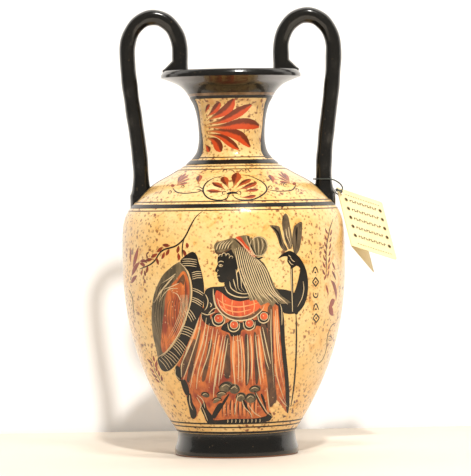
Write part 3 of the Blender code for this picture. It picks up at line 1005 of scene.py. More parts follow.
def pressed_on(form, cutters):
    """The form with the cutters taken out of it, so that its ends follow what it is luted to."""
    made = []
    for index, part in enumerate([form, *cutters]):
        mesh = bpy.data.meshes.new("press_%d" % index)
        part.to_mesh(mesh)
        made.append(bpy.data.objects.new(mesh.name, mesh))
        bpy.context.scene.collection.objects.link(made[-1])
    for cutter in made[1:]:
        cut = made[0].modifiers.new(cutter.name, "BOOLEAN")
        cut.operation = "DIFFERENCE"
        cut.solver = "EXACT"
        cut.object = cutter
    graph = bpy.context.evaluated_depsgraph_get()
    mesh = bpy.data.meshes.new_from_object(made[0].evaluated_get(graph))
    form.clear()
    form.from_mesh(mesh)
    for piece in made:
        bpy.data.objects.remove(piece)
    bmesh.ops.remove_doubles(form, verts=form.verts, dist=1e-6)
    bmesh.ops.recalc_face_normals(form, faces=form.faces)
    return form


def make_handles():
    coil = vessel_settings().coil_radius
    material = black_glaze("handle_glaze", tuple(paint_settings().black))
    sunk = 0.0012
    skin = offset_line(body_skin(), sunk)
    shoulder = [Vector((0, skin[0].y)), *skin, Vector((0, skin[-1].y))]
    top = [Vector((point.x, point.y - sunk)) for point in mouth_top()]
    lip = [
        Vector((0, NECK_TOP_Z - 0.02)), Vector((0.050, NECK_TOP_Z - 0.02)),
        Vector((0.050, top[0].y)), *top, Vector((0, top[-1].y)),
    ]
    cutters = [turned(shoulder, closed=False), turned(lip, closed=False)]
    for name, side in (("handle_left", -1), ("handle_right", 1)):
        line = coil_line(side)
        radii = []
        for index, point in enumerate(line):
            landing = 0.1749 if index < len(line) / 2 else 0.2537
            away = max(point.z - landing, 0) / 0.0040
            waver = 1 + 0.018 * math.sin(point.z * 260 + side) + 0.012 * math.sin(index * 0.7)
            radii.append(coil * waver + 0.0024 * math.exp(-away))
        spread = [
            Vector((side * (0.0345 + 0.0112 * step / 10), 0, 0.2630 - 0.0066 * math.sin(math.pi / 2 * step / 10)))
            for step in range(11)
        ]
        foot = tube(spread, [0.0050 - 0.0022 * (step / 10) ** 2 for step in range(11)])
        held = bpy.data.meshes.new("handle_foot")
        foot.to_mesh(held)
        foot.free()
        form = tube(line, radii)
        form = pressed_on(form, cutters)
        form.from_mesh(held)
        bpy.data.meshes.remove(held)
        piece = add_piece(name + "_coil", form, material)
        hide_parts(name)


# ---- Painted bands, panels and flowers ----


def paints():
    """Every paint, made once and kept by name."""
    held = bpy.data.materials
    if "paint_black" in held:
        return held
    settings = paint_settings()
    black, red, olive = tuple(settings.black), tuple(settings.red), tuple(settings.olive)
    line_paint("paint_black", black, (0.035, 0.018, 0.008), 0.5)
    line_paint("paint_band", black, (0.028, 0.014, 0.006), 0.3)
    line_paint("paint_fine", (0.05, 0.026, 0.012), (0.20, 0.10, 0.035), 0.6)
    line_paint("paint_cream", (0.66, 0.50, 0.28), (0.36, 0.22, 0.11), 0.55)
    line_paint("paint_pale_red", (0.85, 0.33, 0.12), (0.62, 0.14, 0.04), 0.6)
    brushed_paint("paint_red", (0.64, 0.165, 0.028), (0.26, 0.030, 0.008), rub=0.2)
    brushed_paint("paint_bright", (0.72, 0.105, 0.02), (0.42, 0.035, 0.010), rub=0.08)
    brushed_paint("paint_leaf", (0.30, 0.040, 0.010), (0.12, 0.014, 0.004), (120, 120, 120), 0.1)
    brushed_paint("paint_brown", (0.14, 0.055, 0.018), (0.035, 0.014, 0.006), rub=0.12)
    brushed_paint("paint_olive", olive, (0.06, 0.045, 0.022), (300, 300, 60), 0.1)
    brushed_paint("paint_hair", (0.24, 0.17, 0.08), (0.07, 0.05, 0.022), (520, 520, 60), 0.05)
    two_tone_paint("paint_petal", (0.62, 0.070, 0.012), (0.17, 0.030, 0.008))
    two_tone_paint("paint_dusk", (0.38, 0.065, 0.016), (0.12, 0.022, 0.008))
    brushed_paint("paint_lotus", (0.17, 0.115, 0.06), (0.028, 0.020, 0.012), (420, 420, 50), 0.06)
    return held


def paint_bands():
    held = paints()
    lay_bands(
        "belly_bands", BODY,
        [(20.3, 21.1), (22.8, 23.7), (166.4, 168.9), (16.2, 17.6)],
        held["paint_band"],
    )
    lay_bands(
        "belly_fine_bands", BODY,
        [(164.4, 165.0), (170.2, 170.8), (191.4, 191.9), (193.5, 193.95)],
        held["paint_fine"],
    )
    lay_bands(
        "neck_bands", NECK, [(195.2, 197.9), (239.0, 240.35)], held["paint_band"],
    )
    lay_bands("neck_fine_band", NECK, [(199.3, 199.9)], held["paint_fine"])


def panel_edge(skin, low, high, edge):
    """Points up one side of a black panel under a handle, as (height, edge) pairs."""
    count = max(4, round((high - low) / 3))
    left = []
    for step in range(count + 1):
        height = low + (high - low) * step / count
        left.append((height, edge(height)))
    return left


def paint_panels():
    """Black fields under the handles, on the neck and down the shoulder."""
    held = paints()
    for side, name in ((-1, "left"), (1, "right")):
        coat = Coat(NECK, bearing=side * 90)
        ring = []
        for step in range(17):
            height = 198.6 + 41.2 * step / 16
            bulge = 4.6 + 7.4 * (abs(height - 222) / 22) ** 1.6 + 4.0
            ring.append((bulge, height))
        outline = ring + [(-x, z) for x, z in reversed(ring)]
        coat.fill(outline, lift=1.8, steps=1)
        coat.lay("neck_panel_" + name, held["paint_band"], "black_glaze")
        coat = Coat(BODY, bearing=side * 90)
        ring = []
        for height, half in (
            (170.9, 12.5), (172.5, 13.5), (176, 12.0), (180, 10.0), (184, 8.6), (188, 8.0), (191.2, 8.2),
        ):
            ring.append((half, height))
        coat.fill(ring + [(-x, z) for x, z in reversed(ring)], lift=1.8, steps=1)
        coat.lay("shoulder_panel_" + name, held["paint_band"], "black_glaze")


def paint_neck_palmette():
    held = paints()
    upper = Coat(NECK)
    petals = (
        ([(-17, 220.3), (-4, 220.6), (8, 222.3), (18.6, 220.4)], 7.4),
        ([(-16.6, 222.0), (-6, 224.5), (4, 229.5), (13.6, 235.0)], 6.4),
        ([(-16.5, 224.5), (-8, 229.0), (-2, 233.0), (1.8, 239.0)], 6.6),
        ([(-16.8, 227.0), (-12, 231.0), (-7.4, 236.8)], 4.6),
        ([(-17.6, 229.5), (-16.4, 233), (-14.6, 235.6)], 2.6),
    )
    for points, width in petals:
        upper.stroke(points, width, lift=1.0, shape=PETAL, rows=4)
    upper.lay("neck_petals_upper", held["paint_petal"])
    lower = Coat(NECK)
    petals = (
        ([(-16.8, 217.6), (-6, 217.2), (5, 214.0), (12.2, 206.6)], 7.0),
        ([(-16.6, 215.8), (-8, 214.0), (-2, 210.2), (4.6, 204.9)], 5.0),
        ([(-17.0, 213.0), (-11.5, 211.0), (-7.4, 203.6)], 6.4),
        ([(-18.0, 209.0), (-16.4, 206.5), (-15.0, 203.8)], 3.6),
    )
    for points, width in petals:
        lower.stroke(points, width, lift=1.0, shape=PETAL, rows=4)
    lower.lay("neck_petals_lower", held["paint_petal"])


def palmette(bearing, coats, mirror=False):
    """The shoulder flower: an oval scroll, a fan of petals, two spirals and tendrils."""
    black, red, fine = coats
    for coat in coats:
        coat.bearing, coat.mirror = bearing, mirror
    black.stroke([(-0.4, 175.4), (-3, 174.4), (-3.6, 172.4), (-6, 171.2), (-10, 170.9), (-15.5, 172),
                  (-19, 175), (-19.8, 179), (-17.4, 183), (-12.5, 185.9), (-7, 187.2)], 0.75)
    black.stroke([(0, 175.4), (0.6, 173.4), (3, 171.6), (7, 170.8), (14, 171.2), (20, 174),
                  (23, 177.3), (21.8, 181), (17.2, 184.5), (12, 186.6), (7, 187.8)], 0.75)
    black.stroke([(-4.2, 174.9), (-1.6, 175.8), (1.6, 175.8), (3.4, 175.2)], 1.3)
    fine.curl(-5.8, 175.5, 1.7, 1.3, 20, 0.5, way=1)
    fine.curl(4.2, 175.3, 1.9, 1.3, 160, 0.5, way=-1)
    petals = (
        ([(-5.2, 176.6), (-11, 177.0), (-16.8, 177.6)], 2.7),
        ([(-4.6, 177.6), (-9, 180.8), (-13.2, 182.8)], 3.5),
        ([(-2.4, 178.6), (-4.6, 182.8), (-6.0, 186.8)], 4.4),
        ([(0.3, 178.8), (2.0, 183.6), (3.2, 189.2)], 5.4),
        ([(2.0, 178.6), (6.6, 182.0), (12.2, 184.8)], 3.6),
        ([(3.0, 177.6), (9, 179.4), (16.2, 182.4)], 3.4),
        ([(6.6, 176.6), (12, 177.2), (17.4, 177.7)], 2.6),
        ([(4.6, 172.8), (10, 172.6), (15.6, 173.6)], 2.4),
    )
    for points, width in petals:
        red.stroke(points, width, shape=PETAL, rows=3)
    red.stroke([(-23.2, 182), (-22.6, 185), (-22, 188)], 3.6, shape=PETAL, rows=3)
    red.stroke([(27.4, 181.4), (26.8, 184.4), (25.4, 187.4)], 3.6, shape=PETAL, rows=3)
    fine.curl(-4.6, 190.2, 1.8, 1.1, 200, 0.5, way=-1)
    fine.stroke([(-2.8, 190.6), (-1.4, 191.2), (0.6, 190.6), (1.4, 189.4)], 0.5)
    fine.curl(9.6, 190.2, 1.8, 1.1, -20, 0.5, way=1)
    fine.stroke([(7.8, 190.6), (6.0, 191.2), (4.8, 190.2)], 0.5)
    black.stroke([(-19.8, 178), (-23, 176.8), (-28, 176.2), (-33, 176.0), (-37.5, 176.8), (-39.6, 178.6), (-40.4, 180)], 0.6)
    fine.stroke([(-19.6, 178), (-22, 180), (-24.5, 180.2)], 0.5)
    fine.stroke([(-19.8, 176.6), (-22.6, 178.4), (-24.4, 178)], 0.5)
    black.stroke([(22.8, 178), (26, 177.0), (31, 176.4), (36, 176.4), (40, 177), (42, 179), (42.4, 181)], 0.6)
    fine.curl(25.6, 178.8, 1.6, 1.2, 200, 0.6, way=-1)


def side_flower(coats, at, side):
    """The half flower beside the handle's panel: five petal strokes, two spirals and a dab."""
    black, red, fine = coats
    for step, (reach, turn) in enumerate(((8.5, 12), (10.5, 30), (11.5, 48), (11.0, 66), (8.6, 84))):
        angle = math.radians(turn)
        root = (at + side * 1.0 * math.cos(angle), 181.0 + 0.8 * math.sin(angle))
        tip = (at + side * reach * math.cos(angle) * -1, 181.4 + reach * 0.8 * math.sin(angle))
        red.stroke([root, ((root[0] + tip[0]) / 2, (root[1] + tip[1]) / 2 + 0.3), tip], 2.4, shape=PETAL, rows=2)
    fine.curl(at - side * 5.0, 180.2, 1.5, 1.2, 90 - side * 90, 0.5, way=side)
    fine.curl(at + side * 6.0, 176.6, 1.7, 1.2, 90 + side * 90, 0.5, way=-side)
    red.blob(at + side * 4.5, 181.3, 1.9, 0.9, turn=side * 10)


def paint_shoulder():
    held = paints()
    coats = Coat(BODY, bold=1.45), Coat(BODY, bold=1.2), Coat(BODY, bold=1.5)
    palmette(None, coats)
    for coat in coats:
        coat.bearing, coat.mirror = 0, False
    side_flower(coats, -40, -1)
    side_flower(coats, 42, 1)
    palmette(180, coats)
    for coat in coats:
        coat.bearing, coat.mirror = 180, False
    side_flower(coats, -40, -1)
    side_flower(coats, 42, 1)
    coats[0].lay("shoulder_scrolls", held["paint_black"])
    coats[1].lay("shoulder_petals", held["paint_dusk"])
    coats[2].lay("shoulder_curls", held["paint_fine"])


def sprig(coats, points, width, leaves, spread, size, flip=1):
    """A stem with pairs of leaves along it."""
    black, red, _ = coats
    black.stroke(points, width, shape=TAIL)
    line = smooth_line([Vector(point) for point in points], 6)
    for index in range(1, leaves + 1):
        share = index / (leaves + 1)
        at = line[int(share * (len(line) - 2))]
        along = (line[int(share * (len(line) - 2)) + 1] - at).normalized()
        away = Vector((-along.y, along.x))
        for side in (-1, 1):
            root = at + away * side * spread * 0.45 - along * 0.4
            tip = root + away * side * size * 0.35 * flip + along * size * 0.9
            middle = (root + tip) / 2 + away * side * 0.3
            red.stroke([tuple(root), tuple(middle), tuple(tip)], size * 0.44, shape=LEAF)


def paint_vines():
    held = paints()
    coats = Coat(BODY, bold=1.45), Coat(BODY, bold=1.2), Coat(BODY, bold=1.5)
    black, red, fine = coats
    black.stroke([(-20.6, 163.6), (-25, 160), (-29, 153.4), (-32, 147.6), (-35, 143.6), (-39, 140.6),
                  (-43.5, 139.2), (-47, 138.2), (-50.2, 135.6), (-53, 131.2), (-57, 128), (-63.5, 125.4)], 0.75)
    black.stroke([(-32.6, 146.6), (-34, 143), (-34.6, 138), (-34.7, 133)], 0.6)
    for x, z, turn in (
        (-31.4, 140.8, 8), (-37.6, 138.2, -14), (-37.2, 133.2, 6), (-33.2, 135.6, 18),
        (-45.4, 141.1, 82), (-49.8, 138.4, -50), (-47.6, 134.2, -24), (-44.6, 136.4, -30),
        (-53.6, 134.4, -62), (-57.2, 131.6, -78), (-51.6, 130.4, 18), (-58.6, 125.2, -12),
        (-61.6, 128.6, 70), (-60.2, 122.4, 8),
    ):
        half = 2.5 if turn not in (70, 8) else 1.9
        angle = math.radians(turn + 90)
        reach = Vector((math.cos(angle), math.sin(angle))) * half
        red.stroke([(x - reach.x, z - reach.y), (x + 0.2, z), (x + reach.x, z + reach.y)], 2.0, shape=LEAF, rows=2)
    for points, width in (
        ([(-68, 127), (-66.5, 132), (-64.2, 139.8)], 3.4), ([(-69.5, 130), (-69.6, 135), (-69.4, 140)], 2.4),
        ([(-69, 121), (-67, 125.5), (-63.5, 130)], 3.2), ([(-69.6, 116), (-67.5, 119), (-65.4, 121)], 2.6),
        ([(-63.2, 130.6), (-60.6, 131), (-58.4, 129.6)], 1.8), ([(-62.6, 121), (-62.2, 123), (-61.6, 125)], 1.5),
    ):
        red.stroke(points, width, shape=LEAF, rows=2)
    red.strokes(([(-57.6, 132.4), (-58.8, 135), (-57, 137)],), 0.9)
    black.stroke([(-71, 111.6), (-69.6, 109), (-68.6, 105), (-68.2, 99), (-67.4, 96)], 0.6)
    sprig(coats, [(-49.5, 47), (-52, 52), (-54.6, 57), (-55.4, 62), (-58, 66)], 0.5, 5, 1.6, 4.4)
    # right side: a leafy stem, a red flower, and long tendrils
    black.stroke([(67.2, 157), (65.2, 151), (63.4, 143), (62.2, 135), (62.4, 126), (62.0, 120)], 0.6)
    for step in range(7):
        z = 149 - step * 4.6
        x = 64.4 - step * 0.38
        red.stroke([(x - 0.6, z - 2), (x - 1.9, z), (x - 2.4, z + 2)], 1.4, shape=LEAF)
        red.stroke([(x + 0.6, z - 3), (x + 1.6, z - 1), (x + 1.9, z + 1)], 1.4, shape=LEAF)
    for points, width in (
        ([(65.4, 115.6), (67.4, 112), (68.6, 106), (68.4, 102)], 3.2),
        ([(64.0, 98.8), (65.8, 100.6), (67.6, 102.2)], 4.6), ([(63.6, 98.6), (64.8, 95.6), (66.4, 92)], 4.2),
        ([(61.8, 112.6), (62.8, 109), (63.4, 106)], 1.6), ([(66.0, 122), (67.6, 119), (68.6, 116)], 1.8),
        ([(60.6, 116), (61.6, 118), (62.4, 120)], 1.4), ([(66.2, 128), (67.4, 125), (68.4, 122.8)], 1.6),
    ):
        red.stroke(points, width, shape=LEAF, rows=2)
    fine.stroke([(68, 87), (65.6, 85.6), (63.6, 82), (62.2, 77), (61.6, 71), (60.4, 66), (58.2, 61.6), (56, 60.2), (55, 61.6)], 0.55)
    fine.curl(63.8, 76.2, 2.0, 1.2, 120, 0.45, way=-1)
    fine.stroke([(68.6, 88), (69.4, 91), (69.8, 95)], 0.5)
    for bearing, mirror in ((115, False), (-115, True)):
        for coat in coats:
            coat.bearing, coat.mirror = bearing, mirror
        black.stroke([(-16, 62), (-9, 74), (-4, 88), (-5, 104), (-9, 118), (-6, 132), (2, 144), (12, 152)], 0.8, shape=TAIL)
        black.stroke([(-5, 96), (2, 102), (10, 104), (16, 101)], 0.6, shape=TAIL)
        fine.curl(17.4, 97.6, 3.4, 1.5, 100, 0.55, way=-1)
        fine.curl(-17.6, 57.4, 3.4, 1.5, 60, 0.55, way=1)
        fine.curl(14.6, 149.6, 3.0, 1.4, 100, 0.55, way=-1)
        for x, z, turn, long in (
            (-13, 71, 40, 3.2), (-5, 80, -60, 3.0), (-9.6, 84, 30, 3.4), (-1, 92, -50, 3.0),
            (-9.2, 98, 25, 3.2), (-1.6, 110, -30, 3.4), (-12.4, 112, 40, 3.0), (-4, 122, -35, 3.2),
            (-12, 126, 30, 3.2), (2, 136, -60, 3.0), (-5.4, 140, 25, 3.2), (6, 150.6, 20, 2.8),
            (5, 99, -70, 2.8), (7, 107.4, 60, 2.8),
        ):
            angle = math.radians(turn + 90)
            reach = Vector((math.cos(angle), math.sin(angle))) * long
            red.stroke([(x - reach.x, z - reach.y), (x + 0.3, z), (x + reach.x, z + reach.y)], 2.6, shape=LEAF, rows=2)
    coats[0].lay("vine_stems", held["paint_black"])
    coats[1].lay("vine_leaves", held["paint_leaf"])
    coats[2].lay("vine_tendrils", held["paint_fine"])


def paint_back():
    """The plain back: a tall palmette on tendrils, and its smaller neighbour on the neck."""
    held = paints()
    red, black, fine = Coat(BODY, bearing=180), Coat(BODY, bearing=180), Coat(BODY, bearing=180)
    for step in range(-5, 6):
        angle = math.radians(90 - step * 17)
        long = 38 - abs(step) * 2.8
        root = (3.4 * math.cos(angle), 92 + 3.4 * math.sin(angle))
        middle = (long * 0.55 * math.cos(angle), 92 + long * 0.55 * math.sin(angle))
        tip = (long * math.cos(angle), 92 + long * math.sin(angle))
        red.stroke([root, middle, tip], 8.6 - abs(step) * 0.5, shape=PETAL, rows=4)
    black.blob(0, 90, 4.2, 3.4, lift=2)
    for side in (-1, 1):
        black.stroke([(0, 88), (side * 9, 82), (side * 22, 80), (side * 34, 86), (side * 42, 98), (side * 44, 114), (side * 38, 130), (side * 26, 141), (side * 12, 146)], 1.1)
        black.stroke([(side * 4, 86), (side * 10, 72), (side * 22, 62), (side * 36, 60), (side * 46, 66)], 1.0, shape=TAIL)
        fine.curl(side * 45, 72, 5.4, 1.6, 90 - side * 130, 0.8, way=side)
        fine.curl(side * 8, 142, 4.6, 1.5, 90 - side * 20, 0.8, way=side)
        red.stroke([(side * 16, 68), (side * 17, 60), (side * 14, 52)], 4.6, shape=PETAL, rows=3)
        red.stroke([(side * 24, 64), (side * 27, 56), (side * 26, 48)], 4.2, shape=PETAL, rows=3)
        red.stroke([(side * 46, 104), (side * 51, 110), (side * 53, 118)], 3.6, shape=LEAF, rows=2)
        red.stroke([(side * 40, 128), (side * 46, 133), (side * 49, 140)], 3.6, shape=LEAF, rows=2)
    red.stroke([(0, 82), (0, 70), (0, 58)], 7.0, shape=PETAL, rows=4)
    for lobe in (-1, 0, 1):
        red.stroke([(lobe * 3, 52), (lobe * 6, 44), (lobe * 9, 38)], 4.2, shape=LEAF, rows=2)
    red.lay("back_petals", held["paint_petal"])
    black.lay("back_scrolls", held["paint_black"])
    fine.lay("back_curls", held["paint_fine"])
    fan = Coat(NECK, bearing=180)
    for step in range(-4, 5):
        angle = math.radians(90 - step * 19)
        long = 22 - abs(step) * 1.8
        root = (2.0 * math.cos(angle), 208 + 2.0 * math.sin(angle))
        tip = (long * math.cos(angle), 208 + long * math.sin(angle))
        fan.stroke([root, ((root[0] + tip[0]) / 2, (root[1] + tip[1]) / 2), tip], 4.6, shape=PETAL, rows=3)
    fan.lay("back_neck_petals", held["paint_petal"])


# ---- The painted figure ----


def paint_shield():
    held = paints()
    olive, red, black, cream, brown = (Coat(BODY) for _ in range(5))
    face = [(-35.5, 129.6), (-39.4, 128.4), (-43.4, 125.4), (-48, 121), (-51.6, 114.6), (-54.4, 107),
            (-55.8, 98), (-56, 89), (-55.2, 80), (-53.4, 72), (-52.2, 66), (-49, 66.8), (-44, 71.6),
            (-38.4, 79), (-34, 88), (-31, 97), (-29, 105), (-28.8, 114), (-31, 122.6)]
    olive.fill(face, lift=1.0)
    red.fill([(-34.4, 123.6), (-38.6, 118.6), (-43.4, 113), (-46.4, 106), (-47.4, 97), (-49.2, 84), (-50, 74),
              (-48.4, 68.6), (-44.6, 72.4), (-39, 80), (-34.8, 89.4), (-32, 98), (-30.4, 106), (-30.2, 114), (-31.8, 121)], lift=1.6)
    brown.fill([(-34.0, 121.6), (-36.8, 118.4), (-38.8, 114.8), (-36, 116), (-34, 114), (-33.4, 117.6)], lift=2.2)
    rim = [(-35.9, 129.6), (-34.4, 132.4), (-31, 135), (-28, 136.5), (-26, 135.6), (-24.4, 133), (-23.6, 129.4),
           (-21.6, 122), (-20.3, 113), (-21, 101), (-24.8, 90), (-30, 78.4), (-36, 66.4), (-41.6, 59), (-46, 56.2),
           (-49.6, 57), (-51.8, 61.4), (-52.2, 65.4), (-49.2, 66.4), (-43.6, 71.4), (-38, 79), (-33.6, 88),
           (-30.7, 97), (-28.6, 105), (-28.4, 114), (-30.8, 123.4)]
    black.fill(rim, lift=2.4)
    cream.stroke([(-36.6, 129.4), (-33, 125.8), (-30.2, 119.6), (-28.9, 111), (-29.8, 102), (-32.4, 93.4),
                  (-36.4, 84), (-41.6, 75.4), (-47, 69), (-52, 66)], 0.75, lift=3.4)
    groups = (
        (((-34.6, 131.6), (-24.6, 130.8)), 4, 1.5), (((-28.6, 122.2), (-21.8, 123)), 4, -1.4),
        (((-28.2, 112), (-20.4, 108)), 2, -1.3), (((-28.6, 106), (-21, 101.8)), 3, -1.3),
        (((-31.2, 98.6), (-26.2, 91)), 3, -1.6), (((-35, 86.6), (-27.4, 83.4)), 4, -1.7),
        (((-39.4, 78.8), (-32.2, 71)), 5, -1.6), (((-45, 70.4), (-37.8, 63.6)), 3, -1.8),
        (((-48.4, 67.2), (-42.4, 59.4)), 3, -2.0),
    )
    for ((x0, z0), (x1, z1)), count, pitch in groups:
        across = Vector((x1 - x0, z1 - z0)).normalized()
        along = Vector((-across.y, across.x))
        for step in range(count):
            shift = along * pitch * step * (-1 if pitch > 0 else 1)
            bow = along * 0.5
            cream.stroke(
                [(x0 + shift.x, z0 + shift.y),
                 ((x0 + x1) / 2 + shift.x + bow.x, (z0 + z1) / 2 + shift.y + bow.y),
                 (x1 + shift.x, z1 + shift.y)], 0.42, lift=3.4)
    for reach in (0, 1, 2, 3):
        x = -49.6 - reach * 1.7
        black.stroke([(x + 8.5, 118 - reach * 0.4), (x + 4, 112), (x + 1.2, 103 - reach), (x + 0.4, 92), (x + 1.4, 80 + reach * 2), (x + 2.6, 72 + reach * 3)], 0.45, lift=2.4, shape=TAIL)
        cream.stroke([(x + 9.5, 120.4 - reach * 2), (x + 4.6, 115.6 - reach * 2), (x + 0.8, 110 - reach * 2.4), (x - 0.6, 104)], 0.5, lift=2.6, shape=TAIL)
    cream.strokes((
        [(-39.4, 121.8), (-44, 118.4), (-49, 115.4)], [(-37.4, 115.4), (-43, 113), (-50, 110.8)],
        [(-38, 112), (-43.6, 111.6), (-47.6, 108), (-50.6, 103)], [(-36.4, 104), (-38.4, 108), (-42.6, 110)],
    ), 0.6, lift=2.6, shape=TAIL)
    # scratches on the red
    for step in range(9):
        x = -46 + step * 1.75
        brown.stroke([(x + 2.4, 108 - abs(step - 4) * 0.9), (x + 0.6, 100), (x, 92), (x + 0.8, 85 + step * 0.6)], 0.36, lift=2.2)
    for step in range(6):
        shift = step * 1.7
        cream.stroke([(-36 + shift * 0.55, 107.6), (-36.4 + shift * 0.55, 98), (-40 + shift * 0.7, 88), (-45.4 + shift * 0.9, 78)], 0.34, lift=2.8, shape=TAIL)
    brown.stroke([(-33.6, 120.6), (-32.6, 112), (-33.2, 103), (-36, 93), (-40.6, 83), (-46, 75)], 0.7, lift=2.2, shape=TAIL)
    olive.lay("shield_face", held["paint_olive"])
    red.lay("shield_lining", held["paint_red"])
    brown.lay("shield_shade", held["paint_brown"])
    black.lay("shield_rim", held["paint_black"], "black_glaze")
    cream.lay("shield_lines", held["paint_cream"])


GARMENT = [
    (-23.6, 99), (-24.4, 93), (-27.4, 85), (-31.4, 76), (-35.4, 67), (-39.4, 60.4), (-41.2, 56.4), (-40.2, 52.6),
    (-37, 49), (-36, 44), (-33.4, 38.6), (-32, 32), (-31, 26.4), (-29.4, 23.6), (-27.4, 24.4), (-25.2, 28.4),
    (-23.2, 31), (-21.8, 26), (-19.8, 21.2), (-10, 20.6), (0, 20.6), (12, 20.8), (21.6, 21.8), (24, 24.6),
    (22.6, 29.4), (25, 34.4), (27.6, 35.4), (31, 31), (34.6, 26.4), (35.2, 34), (35, 45), (34, 60), (32.6, 75),
    (31.8, 90), (30.8, 99.6), (22, 101.4), (12, 98), (0, 96), (-12, 98), (-18, 99),
]


